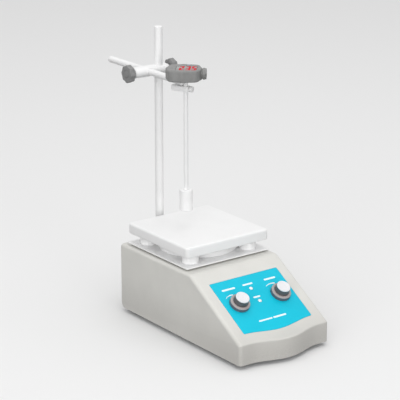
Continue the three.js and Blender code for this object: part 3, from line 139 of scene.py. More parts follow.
class Tree:
    """A material's node tree, built from short calls."""

    def __init__(self, name):
        self.material = bpy.data.materials.new(name)
        self.material.use_nodes = True
        self.nodes = self.material.node_tree.nodes
        self.links = self.material.node_tree.links
        self.shader = self.nodes["Principled BSDF"]
        coordinates = self.nodes.new("ShaderNodeTexCoord")
        self.place = coordinates.outputs["Object"]

    def node(self, kind, inputs=None, **settings):
        made = self.nodes.new("ShaderNode" + kind)
        for key, value in settings.items():
            setattr(made, key, value)
        for key, value in (inputs or {}).items():
            self.put(made.inputs[key], value)
        return made

    def put(self, socket, value):
        if isinstance(value, bpy.types.NodeSocket):
            self.links.new(value, socket)
        else:
            socket.default_value = value

    def noise(self, scale, detail=3.0, roughness=0.5, stretch=None):
        place = self.place
        if stretch:
            place = self.node("Mapping", {"Vector": place, "Scale": stretch}).outputs[0]
        made = self.node("TexNoise", {"Vector": place, "Scale": scale, "Detail": detail,
                                      "Roughness": roughness})
        return made.outputs["Fac"]

    def part(self, axis):
        """One coordinate of the place on the object, in metres."""
        return self.node("SeparateXYZ", {"Vector": self.place}).outputs[axis]

    def ramp(self, value, low, high, start=0.0, end=1.0):
        """Low where the value is start or less, high where it is end or more."""
        made = self.node("MapRange", {"Value": value, "From Min": start, "From Max": end,
                                      "To Min": low, "To Max": high})
        return made.outputs["Result"]

    def mix(self, share, first, second):
        made = self.node("Mix", data_type="RGBA")
        self.put(made.inputs[MIX_SHARE], share)
        self.put(made.inputs[MIX_FIRST], first)
        self.put(made.inputs[MIX_SECOND], second)
        return made.outputs[MIX_COLOUR]

    def math(self, operation, first, second):
        made = self.node("Math", {0: first, 1: second}, operation=operation)
        return made.outputs[0]

    def worn_edge(self):
        """1 on sharp outer edges, broken up by noise."""
        geometry = self.node("NewGeometry")
        edge = self.ramp(geometry.outputs["Pointiness"], 0.0, 1.0, *EDGE_BAND)
        return self.math("MULTIPLY", edge, self.ramp(self.noise(900.0), 0.0, 1.0, *CHIP_BAND))

    def bump(self, height, strength, distance):
        made = self.node("Bump", {"Height": height, "Strength": strength, "Distance": distance})
        self.put(self.shader.inputs["Normal"], made.outputs["Normal"])

    def finish(self, colour, roughness, **fixed):
        """Links colour and roughness, and sets what is the same all over on the shader itself."""
        self.put(self.shader.inputs["Base Color"], colour)
        self.put(self.shader.inputs["Roughness"], roughness)
        for key, value in fixed.items():
            self.shader.inputs[key.replace("_", " ")].default_value = value
        return self.material


def paint(name, colour, rough, grain=1300.0, strength=0.12, spread=0.04, wear=None, dust_and_painted_shade=None,
          **fixed):
    """Sprayed or moulded surface: slight cloudiness, fine orange peel, wear and painted shade low in
    front.
    """
    t = Tree(name)
    clouds = t.ramp(t.noise(38.0, detail=4.0), 0.0, 1.0, *NARROW_BAND)
    shade = t.mix(clouds, colour, scaled(colour, 1 - spread))
    # Painted shade: darkens the colour low down and towards the front.
    if dust_and_painted_shade:
        low = t.ramp(t.part("Z"), 1.0, 0.0, *PAINTED_SHADE_HEIGHTS)
        front = t.ramp(t.part("Y"), 1.0, PAINTED_SHADE_AT_REAR, *PAINTED_SHADE_DEPTHS)
        shade = t.mix(t.math("MULTIPLY", low, front), shade, dust_and_painted_shade)
    if wear:
        shade = t.mix(t.math("MULTIPLY", t.worn_edge(), WORN_SHARE), shade, wear)
    smudge = t.noise(95.0, detail=5.0, roughness=0.6)
    t.bump(t.noise(grain, detail=2.0), strength, distance=0.00012)
    return t.finish(shade, t.ramp(smudge, rough - 0.06, rough + 0.08, *WIDE_BAND), **fixed)


def metal(name, colour, rough, stretch, scratch=0.25):
    """Drawn or turned metal with fine lines along one direction."""
    t = Tree(name)
    lines = t.noise(160.0, detail=4.0, roughness=0.6, stretch=stretch)
    shade = t.mix(t.ramp(lines, 0.0, 0.8, start=0.35, end=0.7), colour, scaled(colour, 0.78))
    t.bump(lines, scratch, distance=0.00008)
    return t.finish(shade, t.ramp(lines, rough - 0.07, rough + 0.1, *WIDE_BAND), Metallic=1.0)


def moulded(name, colour, rough):
    """Moulded plastic with a fine eroded grain and rubbed edges."""
    t = Tree(name)
    grain = t.noise(2600.0, detail=3.0, roughness=0.65)
    clouds = t.ramp(t.noise(120.0, detail=4.0), 0.0, 1.0, *WIDE_BAND)
    shade = t.mix(clouds, colour, scaled(colour, 0.82))
    rubbed = t.math("MULTIPLY", t.worn_edge(), RUBBED_SHARE)
    shade = t.mix(rubbed, shade, scaled(colour, 1.5, more=0.02))
    t.bump(grain, strength=0.3, distance=0.0001)
    return t.finish(shade, t.ramp(grain, rough - 0.08, rough + 0.1, *WIDE_BAND))


def rubber(name, colour, dust_and_painted_shade):
    t = Tree(name)
    dusty = t.ramp(t.noise(140.0, detail=5.0), 0.0, 0.35, start=0.45, end=0.8)
    t.bump(t.noise(1800.0), strength=0.35, distance=0.00015)
    return t.finish(t.mix(dusty, colour, dust_and_painted_shade), t.ramp(t.noise(300.0), 0.75, 0.95))


def fibre(name, colour):
    t = Tree(name)
    strands = t.noise(420.0, detail=6.0, roughness=0.7, stretch=(1.0, 6.0, 1.0))
    t.bump(strands, strength=0.6, distance=0.0005)
    return t.finish(t.mix(strands, scaled(colour, 0.6), colour), 0.95)


def circuit(name, lacquer, tracks):
    t = Tree(name)
    cells = t.node("TexVoronoi", {"Vector": t.place, "Scale": 260.0}, distance="MANHATTAN")
    raised = t.ramp(cells.outputs["Distance"], 0.0, 1.0, start=0.30, end=0.34)
    t.bump(raised, strength=0.3, distance=0.0001)
    return t.finish(t.mix(raised, lacquer, tracks), 0.42)


def lamp_plastic(name, bright, dull):
    t = Tree(name)
    clouds = t.noise(700.0)
    t.bump(clouds, strength=0.08, distance=0.0001)
    return t.finish(t.mix(clouds, bright, dull), t.ramp(clouds, 0.12, 0.24), Coat_Weight=0.5)


def window_plastic(name, dark, light):
    t = Tree(name)
    film = t.noise(240.0, detail=4.0)
    t.bump(t.noise(1500.0, detail=2.0), strength=0.05, distance=0.00005)
    return t.finish(t.mix(film, dark, light), t.ramp(film, 0.16, 0.28), Specular_IOR_Level=0.2)


MATERIALS = {
    # The housing's darker colour low down at the front is painted shade for its shaded front lip.
    "housing": paint("housing_paint", rgb(217, 216, 211), 0.45, wear=rgb(236, 235, 231),
                     dust_and_painted_shade=rgb(194, 192, 187)),
    "sheet_metal": metal("drawn_sheet", rgb(186, 189, 190), 0.38, stretch=(1.0, 14.0, 1.0)),
    "foot_rubber": rubber("foot_rubber", rgb(38, 38, 38), dust_and_painted_shade=rgb(96, 94, 90)),
    "plate_coating": paint("plate_enamel", rgb(243, 243, 243), 0.34, grain=700.0, spread=0.02),
    "steel": metal("turned_steel", rgb(198, 200, 201), 0.28, stretch=(1.0, 1.0, 18.0)),
    "white_coated_steel": paint("white_coating", rgb(244, 244, 244), 0.34, grain=1500.0,
                                strength=0.1, spread=0.02),
    "panel_film": paint("cyan_film", rgb(20, 196, 222), 0.45, grain=3000.0, strength=0.1,
                        spread=0.03, Specular_IOR_Level=0.15),
    "knob_plastic": moulded("knob_plastic", rgb(178, 169, 168), 0.5),
    "grip_plastic": moulded("grip_plastic", rgb(94, 91, 93), 0.4),
    # Painted shade: the skirt's side is darker and bluer than the knob's ring, standing in for the
    # shade under its lit top.
    "skirt_plastic": moulded("skirt_plastic", rgb(98, 100, 110), 0.45),
    "cap_plastic": paint("cap_plastic", rgb(231, 231, 234), 0.28, grain=2200.0, strength=0.08,
                         spread=0.03),
    "lamp_plastic": lamp_plastic("lamp_plastic", rgb(250, 253, 253), rgb(228, 238, 240)),
    "clamp_plastic": moulded("clamp_plastic", rgb(138, 138, 138), 0.55),
    "case_plastic": moulded("case_plastic", rgb(139, 139, 138), 0.5),
    "display": window_plastic("display_window", rgb(128, 132, 130), rgb(140, 144, 141)),
    "insulation": fibre("insulation_fibre", rgb(222, 214, 196)),
    "black_plastic": moulded("black_plastic", rgb(34, 34, 35), 0.5),
    "magnet": metal("magnet_alloy", rgb(110, 111, 115), 0.4, stretch=(1.0, 8.0, 1.0)),
    "nylon": moulded("nylon", rgb(228, 225, 215), 0.6),
    "circuit_board": circuit("circuit_board", rgb(24, 92, 58), rgb(40, 122, 82)),
    "transformer_iron": metal("stacked_sheets", rgb(92, 90, 88), 0.55, stretch=(30.0, 1.0, 1.0),
                              scratch=0.6),
    "print_white": paint("white_print", rgb(238, 250, 252), 0.45, grain=2500.0, strength=0.05,
                         spread=0.02),
    "digits_red": paint("red_digits", rgb(208, 28, 47), 0.5, grain=2500.0, strength=0.05,
                        spread=0.05, Specular_IOR_Level=0.05),
    "button_plastic": moulded("button_plastic", rgb(168, 174, 182), 0.4),
    "brass": metal("contact_brass", rgb(206, 176, 112), 0.3, stretch=(1.0, 12.0, 1.0)),
}


# Mesh helpers, in millimetres

MERGE, WELD = 1e-5, 1e-4


def to_object(name, bm, place, body, slot, nodes=(), smooth=38.0, material=None):
    """Turns a bmesh into a finished piece on its body, in place of the named CAD nodes."""
    bmesh.ops.remove_doubles(bm, verts=bm.verts, dist=MERGE)
    bmesh.ops.recalc_face_normals(bm, faces=bm.faces)
    bm.transform(PLACE @ place)
    mesh = bpy.data.meshes.new(name)
    bm.to_mesh(mesh)
    bm.free()
    mesh.polygons.foreach_set("use_smooth", [True] * len(mesh.polygons))
    mesh.set_sharp_from_angle(angle=math.radians(smooth))
    piece = bpy.data.objects.new(name, mesh)
    bpy.context.scene.collection.objects.link(piece)
    piece.data.materials.append(MATERIALS[material or slot])
    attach(piece, body)
    if nodes:
        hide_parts(*nodes)


def stack(rings):
    """A skin through rings of equally many points, with a flat face at each end."""
    bm = bmesh.new()
    rows = [[bm.verts.new(p) for p in ring] for ring in rings]
    count = len(rows[0])
    for low, high in zip(rows, rows[1:]):
        for i in range(count):
            j = (i + 1) % count
            bm.faces.new((low[i], low[j], high[j], high[i]))
    bm.faces.new(list(reversed(rows[0])))
    bm.faces.new(rows[-1])
    return bm


def prism(outline, low, high):
    """A straight body of one outline, from one height to another."""
    return stack([[(x, y, z) for x, y in outline] for z in (low, high)])


def quarter(steps):
    """Angles from 0 to a right angle."""
    return [math.pi / 2 * i / steps for i in range(steps + 1)]


def circle(steps):
    return [2 * math.pi * i / steps for i in range(steps)]


def lathe(profile, steps=64):
    """Turns (radius, height) pairs round Z. A radius of 0 makes a pole."""
    bm = bmesh.new()
    rows = []
    for radius, height in profile:
        if radius == 0:
            rows.append([bm.verts.new((0, 0, height))])
            continue
        rows.append([bm.verts.new((radius * math.cos(a), radius * math.sin(a), height))
                     for a in circle(steps)])
    for low, high in zip(rows, rows[1:]):
        for i in range(steps):
            j = (i + 1) % steps
            ring = [low[i % len(low)], low[j % len(low)], high[j % len(high)], high[i % len(high)]]
            unique = list(dict.fromkeys(ring))
            if len(unique) > 2:
                bm.faces.new(unique)
    return bm


def rounded_profile(points, steps=4):
    """Rounds the corners of a (radius, height, corner) profile."""
    out = []
    for i, (r, z, corner) in enumerate(points):
        if not corner or i in (0, len(points) - 1):
            out.append((r, z))
            continue
        here = Vector((r, z))
        before = Vector(points[i - 1][:2]) - here
        after = Vector(points[i + 1][:2]) - here
        reach = min(corner, before.length * 0.49, after.length * 0.49)
        start, end = here + before.normalized() * reach, here + after.normalized() * reach
        for s in range(steps + 1):
            t = s / steps
            p = start.lerp(here, t).lerp(here.lerp(end, t), t)
            out.append((max(p.x, 0.0), p.y))
    return out


def turned(points, steps=64, corner_steps=4):
    """A lathe body of a (radius, height, corner) profile."""
    return lathe(rounded_profile(points, corner_steps), steps)


def rounded_rect(width, depth, radius, inset=0.0, steps=6):
    a, b, r = width / 2 - inset, depth / 2 - inset, max(radius - inset, 0.05)
    points = []
    for cx, cy, start in ((a - r, -b + r, -90), (a - r, b - r, 0),
                          (-a + r, b - r, 90), (-a + r, -b + r, 180)):
        for s in range(steps + 1):
            angle = math.radians(start + 90 * s / steps)
            points.append((cx + r * math.cos(angle), cy + r * math.sin(angle)))
    return points


def lobed(half_length, half_depth, lobes, depth, inset, steps, power=1.0, fullness=2.0):
    """An oval with shallow flutes between round lobes. A greater fullness fills its corners."""
    points = []
    for angle in circle(steps):
        a, b = half_length - inset, half_depth - inset
        radius = (abs(math.cos(angle) / a) ** fullness
                  + abs(math.sin(angle) / b) ** fullness) ** (-1 / fullness)
        radius -= depth * (0.5 * (1 - math.cos(lobes * angle))) ** power
        points.append((radius * math.cos(angle), radius * math.sin(angle)))
    return points


def levels(height, low, high, steps):
    """(height, inset) pairs of a body with rounded lower and upper edges."""
    return ([(low * (1 - math.cos(a)), low * (1 - math.sin(a))) for a in quarter(steps)]
            + [(height - high * (1 - math.sin(a)), high * (1 - math.cos(a)))
               for a in quarter(steps)])


def slab(outline, height, low, high, base=0.0, steps=5):
    """A plate of any outline function of the inset, with rounded edges."""
    return stack([
        [(x, y, base + z) for x, y in outline(inset)]
        for z, inset in levels(height, low, high, steps)
    ])


def rounded_slab(width, depth, corner, height, low, high, base=0.0, steps=5, corner_steps=6):
    """A slab with a rounded rectangle as its outline."""
    return slab(lambda inset: rounded_rect(width, depth, corner, inset, corner_steps),
                height, low, high, base, steps)


def cylinder(diameter, height, base=0.0, steps=48):
    return lathe([(0, base), (diameter / 2, base), (diameter / 2, base + height),
                  (0, base + height)], steps)


def boxed(size, centre):
    bm = bmesh.new()
    bmesh.ops.create_cube(bm, size=1.0)
    bmesh.ops.scale(bm, vec=size, verts=bm.verts)
    bmesh.ops.translate(bm, vec=centre, verts=bm.verts)
    return bm


def moved(bm, matrix):
    bm.transform(matrix)
    return bm


def merged(*parts):
    """Several closed skins as one bmesh."""
    whole = parts[0]
    for part in parts[1:]:
        mesh = bpy.data.meshes.new("part")
        part.to_mesh(mesh)
        part.free()
        whole.from_mesh(mesh)
        bpy.data.meshes.remove(mesh)
    return whole


def carved(body, tools, operation="DIFFERENCE"):
    """The body with each tool cut away, joined on or intersected, as a new bmesh."""
    def temporary(bm):
        bmesh.ops.remove_doubles(bm, verts=bm.verts, dist=MERGE)
        bmesh.ops.recalc_face_normals(bm, faces=bm.faces)
        mesh = bpy.data.meshes.new("work")
        bm.to_mesh(mesh)
        bm.free()
        made = bpy.data.objects.new("work", mesh)
        bpy.context.scene.collection.objects.link(made)
        return made

    base = temporary(body)
    others = [temporary(tool) for tool in tools]
    for other in others:
        cutter = base.modifiers.new("cut", "BOOLEAN")
        cutter.operation = operation
        cutter.solver = "EXACT"
        cutter.object = other
    bpy.context.view_layer.update()
    evaluated = base.evaluated_get(bpy.context.evaluated_depsgraph_get())
    mesh = bpy.data.meshes.new_from_object(evaluated)
    result = bmesh.new()
    result.from_mesh(mesh)
    bpy.data.meshes.remove(mesh)
    for made in [base, *others]:
        data = made.data
        bpy.data.objects.remove(made)
        bpy.data.meshes.remove(data)
    bmesh.ops.remove_doubles(result, verts=result.verts, dist=WELD)
    bmesh.ops.dissolve_degenerate(result, edges=result.edges, dist=WELD)
    return result


# Housing

def fillets(corners, steps=6):
    """An outline through (u, v, radius) corners."""
    out = []
    for i, (u, v, radius) in enumerate(corners):
        here = Vector((u, v))
        if not radius:
            out.append(here)
            continue
        back = (Vector(corners[i - 1][:2]) - here).normalized()
        ahead = (Vector(corners[(i + 1) % len(corners)][:2]) - here).normalized()
        half = math.acos(max(-1, min(1, back.dot(ahead)))) / 2
        centre = here + (back + ahead).normalized() * (radius / math.sin(half))
        reach = radius / math.tan(half)
        first, last = here + back * reach - centre, here + ahead * reach - centre
        start = math.atan2(first.y, first.x)
        sweep = (math.atan2(last.y, last.x) - start + math.pi) % (2 * math.pi) - math.pi
        for s in range(steps + 1):
            angle = start + sweep * s / steps
            out.append(centre + Vector((math.cos(angle), math.sin(angle))) * radius)
    return out


def bulge(x, reach):
    """The wave's reach at this place across the nose."""
    if abs(x) >= NOSE_HALF:
        return 0.0
    return reach * 0.5 * (1 + math.cos(math.pi * x / NOSE_HALF))


def slope_point(distance, depth=0.0):
    """(y, z) of a place on the slope, or under it by a depth."""
    return Vector((CREST_Y - distance * math.cos(SLOPE) + depth * math.sin(SLOPE),
                   ROOF - distance * math.sin(SLOPE) - depth * math.cos(SLOPE)))


def nose_curve(x, inset, steps=6):
    """The curve from the slope down to the lip, moved inwards by the inset."""
    start = slope_point(SLOPE_LENGTH - NOSE_BLEND)
    control = slope_point(SLOPE_LENGTH - NOSE_BLEND / 2)
    end = Vector((SHOULDER_Y - bulge(x, NOSE_REACH), LIP))
    points = []
    for i in range(steps + 1):
        t = i / steps
        point = start.lerp(control, t).lerp(control.lerp(end, t), t)
        tangent = ((control - start) * (1 - t) + (end - control) * t).normalized()
        points.append(Vector((point.x - inset * tangent.y, point.y + inset * tangent.x)))
    last = points.pop()
    short = (end.x + inset - last.x) / tangent.x
    points.append(Vector((end.x + inset, last.y + short * tangent.y)))
    return points


def housing_profile(x, inset, is_open):
    """The side outline at one place across. An open one runs out through the underside."""
    crest = slope_point(0, inset)
    top = ROOF - inset
    crest_y = crest.x + (top - crest.y) / math.tan(SLOPE)
    nose = nose_curve(x, inset)
    lip = nose.pop()
    bottom = -1.0 if is_open else 0.0

    def radius(full):
        return max(full - inset, LEAST_R)

    corners = [(lip.x, bottom, 0), (lip.x, lip.y, radius(LIP_R))]
    corners += [(p.x, p.y, 0) for p in reversed(nose)]
    corners += [
        (crest_y, top, CREST_R),
        (REAR_Y - inset, top, radius(REAR_TOP_R)),
        (REAR_Y - inset, inset if is_open else bottom, radius(REAR_BOTTOM_R)),
    ]
    if is_open:
        rim = REAR_Y - REAR_BOTTOM_R - RIM_STEP
        corners += [(rim, inset, 0), (rim, bottom, 0)]
    return [(x, p.x, p.y) for p in fillets(corners)]


def housing_form(inset, is_open, waves=40):
    """The housing as a solid, or its inner space, through side outlines from left to right."""
    half = WIDTH / 2 - inset
    radius = max(SIDE_R - inset, LEAST_R)
    straight = half - radius
    edge = [(straight + radius * math.cos(a), inset + radius * (1 - math.sin(a)))
            for a in quarter(6)]
    stations = [(-x, d) for x, d in edge]
    stations += [(-straight + 2 * straight * i / waves, inset) for i in range(1, waves)]
    stations += list(reversed(edge))
    return stack([housing_profile(x, d, is_open) for x, d in stations])


def panel_outline(growth, waves=40):
    """The panel's outline on the slope, with a lower edge that follows the nose."""
    half = PANEL_HALF + growth
    r = PANEL_CORNER + growth
    top, bottom = growth - PANEL_START, -PANEL_END - growth
    corners = [(half, top, r), (-half, top, r), (-half, bottom, r)]
    for i in range(1, waves):
        x = -NOSE_HALF + 2 * NOSE_HALF * i / waves
        if abs(x) < half - 2 * PANEL_CORNER:
            corners.append((x, bottom - bulge(x, PANEL_WAVE), 0))
    corners.append((half, bottom, r))
    return [(p.x, p.y) for p in fillets(corners)]


def build_housing():
    cutters = [
        housing_form(WALL, True),
        cylinder(ROTOR_HOLE, 6.0, ROOF - WALL - 1.8, 64),
        moved(prism(panel_outline(PANEL_GAP), -1.0, 2.0), ON_SLOPE),
    ]
    for x, distance, diameter in SLOPE_HOLES:
        cutters.append(moved(cylinder(diameter, 6.0, -4.0, 32), ON_SLOPE @ at(x, -distance, 0)))
    cutters.append(moved(prism(rounded_rect(27.6, 20.2, 2.5), -6, 4), INLET_ON_WALL))
    cutters.append(moved(cylinder(FUSE_HOLE, 8.0, -5.0, 40), FUSE_ON_WALL))
    for side in (-1, 1):
        for i in range(VENT_COUNT):
            vent = prism(rounded_rect(27, 2.4, 1.1, steps=4), -6, 4)
            place = at(side * REAR_X, REAR_Y, VENT_Z + VENT_PITCH * i)
            cutters.append(moved(vent, place @ TO_Y))
    bm = carved(housing_form(0.0, False), cutters)
    to_object("housing_shell", bm, HERE, "base", "housing", ["housing"], 30.0)


# Plate group

def build_plate_group():
    cover_z, cover_d, recess = 96.9, 94.6, 1.3
    pan_r, pan_z = 46.8, 84.8
    plate = rounded_slab(PLATE_SIDE, PLATE_SIDE, 4.5, PLATE_T, 1.6, 2.8, PLATE_Z, 7, 8)
    plate = carved(plate, [cylinder(cover_d, recess + 1.0, PLATE_Z - 1.0, 96)])
    pan = turned([(0, pan_z, 0), (pan_r, pan_z, 0.5), (pan_r, cover_z, 0.2), (0, cover_z, 0)],
                 96, 6)
    to_object("heater_pan", pan, HERE, "base", "plate_coating", ["heater_cover"], 40.0)
    to_object("plate_slab", plate, HERE, "base", "plate_coating", ["top_plate"], 32.0)

    post_r, post_top, collar_r, collar_top, spigot_r, spigot_end = 10, 14.6, 11.2, 1.95, 3, -4
    seat, clearance, shield_side = 0.3, 0.3, 121.6
    places = [(x, y) for x in (-POST_X, POST_X) for y in (-POST_X, POST_X)]
    shield = rounded_slab(shield_side, shield_side, 3.0, 1.0, 0.25, 0.25, SHIELD_Z, 3, 8)
    shield = carved(shield, [moved(cylinder(2 * (post_r + clearance), 3.0, SHIELD_Z - 1, 72),
                                   at(x, y, 0)) for x, y in places])
    to_object("shield_sheet", shield, HERE, "base", "plate_coating", ["heat_shield"], 32.0)
    for number, (x, y) in enumerate(places, 1):
        post = turned([
            (0, spigot_end, 0), (spigot_r, spigot_end, 0.4), (spigot_r, seat, 0.1),
            (collar_r, seat, 0.3), (collar_r, collar_top, 0.3), (post_r, collar_top, 0.2),
            (post_r, post_top, 0.3), (0, post_top, 0)], 56)
        to_object(f"post_{number}", post, at(x, y, ROOF), "base", "plate_coating",
                  [f"plate_post_{number}"])


# Control panel

PRINT_LOW, PRINT_HIGH = 0.19, 0.235

# Bars that stand for printed words: left end, right end, distance down the slope, thickness
PRINT_BARS = ((-39.5, -20.6, 33, 2.4), (-9.3, 5.1, 32.6, 2.2), (22.1, 38.8, 32.7, 2.4),
              (-6.6, 3.2, 52.6, 2.2), (-20.6, -1.2, 85.5, 2.0), (0.2, 19, 85.5, 2.2))


def bar(left, right, distance, thickness):
    strip = rounded_rect(right - left, thickness, thickness / 2, steps=4)
    return moved(prism(strip, PRINT_LOW, PRINT_HIGH), at((left + right) / 2, -distance, 0))


def wedge(x, start, end, first, last, width, steps=20):
    """A thin arc round a knob, from one radius to another, that grows thicker to its end."""
    inner, outer = [], []
    for i in range(steps + 1):
        share = i / steps
        angle = math.radians(start + (end - start) * share)
        radius = first + (last - first) * share
        half = width * (0.25 + 0.75 * share) / 2
        spot = Vector((math.cos(angle), math.sin(angle)))
        inner.append(spot * (radius - half))
        outer.append(spot * (radius + half))
    outline = [(x + p.x, p.y - KNOB_DISTANCE) for p in inner + outer[::-1]]
    return prism(outline, PRINT_LOW, PRINT_HIGH)


def build_panel():
    bm = slab(lambda inset: panel_outline(-inset), 0.9, 0.1, 0.2, -0.7, 3)
    tools = [moved(cylinder(diameter, 4.0, -2.0, 48), at(x, -distance, 0))
             for x, distance, diameter in SLOPE_HOLES]
    to_object("panel_film", carved(bm, tools), ON_SLOPE, "base", "panel_film",
              ["control_panel"], 30.0)
    prints = [bar(*row) for row in PRINT_BARS]
    prints.append(wedge(-KNOB_X, 132.0, 87.0, 16.4, 14.9, 1.7))
    prints.append(wedge(KNOB_X, 127.0, 80.0, 18.2, 16.0, 1.9))
    to_object("panel_print", merged(*prints), ON_SLOPE, "base", "panel_film", (), 30.0,
              "print_white")
    lamp_r, lamp_from, lamp_rim, dome = 2.2, -5.8, 0.2, 0.6
    for name, distance in LAMPS:
        profile = [(0, lamp_from), (lamp_r, lamp_from), (lamp_r, lamp_rim)]
        profile += [(lamp_r * math.cos(a), lamp_rim + dome * math.sin(a))
                    for a in quarter(8)[1:-1]]
        profile.append((0, lamp_rim + dome))
        to_object(name + "_dome", lathe(profile, 40), ON_SLOPE @ at(LAMP_X, -distance, 0),
                  "base", "lamp_plastic", [name], 50.0)


def build_knob(name, body, x):
    """A knob of four pieces: a wide skirt, a pale ring, a slim grip and a white cap."""
    place = ON_SLOPE @ at(x, -KNOB_DISTANCE, 0.5)
    bore_d, skirt_top, ring_from, ring_top, grip_from = 4.3, 3.6, 3.66, 5.0, 5.06
    grip_top = KNOB_HEIGHT - 1.7
    skirt = turned([(0, 0, 0), (12.1, 0, 0.3), (11.95, skirt_top, 0.2), (11.5, skirt_top, 0),
                    (0, skirt_top, 0)], 96, 5)
    holes = [cylinder(bore_d, 10.0, -1.0), cylinder(KNOB_HOLE, 2.0, -1.0)]
    # The skirt's dark side is painted shade below the knob's pale ring.
    to_object(name + "_skirt", carved(skirt, holes), place, body, "knob_plastic",
              [name + "_knob"], 34.0, "skirt_plastic")
    ring = turned([
        (bore_d / 2, ring_from, 0), (11.9, ring_from, 0.1), (11.85, 4.4, 0.4), (11.2, 5.2, 0.5),
        (9.2, 5.35, 0.2), (9.0, ring_top, 0), (bore_d / 2, ring_top, 0),
        (bore_d / 2, ring_from, 0)], 96, 5)
    to_object(name + "_ring", ring, place, body, "knob_plastic", (), 34.0)
    profile = [(0, grip_from), (8.8, grip_from)]
    profile += rounded_profile([(8.85, grip_from, 0), (8.6, 6.4, 0.6), (8.4, grip_top, 0.3),
                                (7.9, grip_top, 0)])
    profile += [(7.8, grip_top - 1.0), (0, grip_top - 1.0)]
    grip = carved(lathe(profile, 96), [cylinder(bore_d, 5.2, 4.5)])
    to_object(name + "_grip", grip, place, body, "knob_plastic", (), 34.0, "grip_plastic")
    rim_r, rim_top, dish_top = 8.15, 1.4, 1.15
    cap = turned([
        (0, -0.9, 0), (7.2, -0.9, 0), (7.2, 0.02, 0), (rim_r, 0.02, 0.15), (rim_r, rim_top, 0.8),
        (6.1, 1.35, 0.5), (5.7, dish_top, 0.4), (0, dish_top, 0)], 72, 5)
    to_object(name + "_top", cap, place @ at(0, 0, KNOB_HEIGHT - rim_top), body, "cap_plastic",
              [name + "_knob_cap"], 40.0)


# Stand, boss head and arm

def lobed_knob(radius, thickness, lobes, depth, edge):
    return slab(lambda inset: lobed(radius, radius, lobes, depth, inset, 168, 0.8),
                thickness, edge, edge)


def build_stand():
    rod_r, rod_from, rod_top = 5, 25.5, 337.6
    rod = turned([(0, rod_from, 0), (rod_r, rod_from, 0.8), (rod_r, rod_top, 0.9),
                  (0, rod_top, 0)])
    to_object("rod_bar", rod, at(0, ROD_Y, 0), "stand", "white_coated_steel", ["support_rod"])

    socket_z, socket_height, floor, rod_hole = 22, 38.0, 3.2, 10.3
    rod_from_wall, screw_up = 7.2, 19
    block = rounded_slab(25, 36.8, 5.0, socket_height, 0.8, 0.8, steps=4, corner_steps=8)
    outer_half = boxed((30, 20, 40), (0, 10, screw_up))
    block = carved(block, [outer_half], "INTERSECT")
    block = carved(block, [
        moved(cylinder(rod_hole, 40.0, floor), at(0, rod_from_wall, 0)),
        moved(cylinder(SHAFT_HOLE, 20.0), at(0, rod_from_wall, screw_up) @ TO_Y)])
    to_object("rod_socket_block", block, at(0, REAR_Y + 0.3, socket_z), "base", "housing",
              ["rod_socket"], 32.0)
    head = moved(lobed_knob(6.5, 8.0, 12, 0.6, 0.8), at(0, 0, 13.2))
    screw = cylinder(5.0, 9.0, 5.15, 32)
    to_object("socket_screw_grip", merged(head, screw),
              at(0, ROD_Y, socket_z + screw_up) @ TO_Y, "socket_clamp", "clamp_plastic",
              ["socket_screw"], 36.0)


def build_boss():
    half_depth, half_height, left, right, edge = 8.5, 6.5, -38, 10, 1.2

    def section(inset, x):
        return [(x, (half_depth - inset) * math.cos(a), (half_height - inset) * math.sin(a))
                for a in circle(72)]

    bar_form = stack([section(edge - edge * math.sin(a), left + edge * (1 - math.cos(a)))
                      for a in quarter(5)]
                     + [section(edge * (1 - math.cos(a)), right - edge * (1 - math.sin(a)))
                        for a in quarter(5)])
    neck = moved(turned([(0, 7, 0), (5, 7, 0), (5, 13.2, 0.6), (0, 13.2, 0)], 56), TO_X)
    bar_form = carved(bar_form, [neck], "UNION")
    bar_form = carved(bar_form, [
        cylinder(10.3, 20.0, -10.0, 64),
        moved(cylinder(8.3, 24.0, -12.0, 56), at(ARM_X, 0, 0) @ TO_Y),
        moved(cylinder(SHAFT_HOLE, 24.0, -40.0, 40), TO_X),
        moved(cylinder(SHAFT_HOLE, 20.0, 0.0, 40), TO_X),
    ])
    to_object("boss_bar", bar_form, at(0, ROD_Y, BOSS_Z), "boss", "white_coated_steel",
              ["boss_head"], 34.0)
    for name, body, x, turn, length in (
            ("arm_clamp_knob", "arm_clamp", ARM_X - 4.15, -1, 17.65),
            ("rod_clamp_knob", "rod_clamp", 5.15, 1, 8.35)):
        grip = moved(lobed_knob(10.8, 7.0, 8, 1.0, 1.1), at(0, 0, length + 1.6))
        face = lathe([(0, length + 8.3), (4.2, length + 8.3), (4.2, length + 8.75),
                      (3.8, length + 8.95), (0, length + 8.95)], 40)
        collar = cylinder(9.0, 1.8, length, 40)
        screw = cylinder(5.0, length + 0.5, 0.0, 32)
        place = at(x, ROD_Y, BOSS_Z) @ Matrix.Rotation(turn * math.pi / 2, 4, "Y")
        grip = carved(grip, [collar, screw], "UNION")
        grip = carved(grip, [cylinder(9.4, 1.0, length + 7.9, 40)])
        to_object(name + "_grip", merged(grip, face), place, body, "clamp_plastic", [name], 34.0)


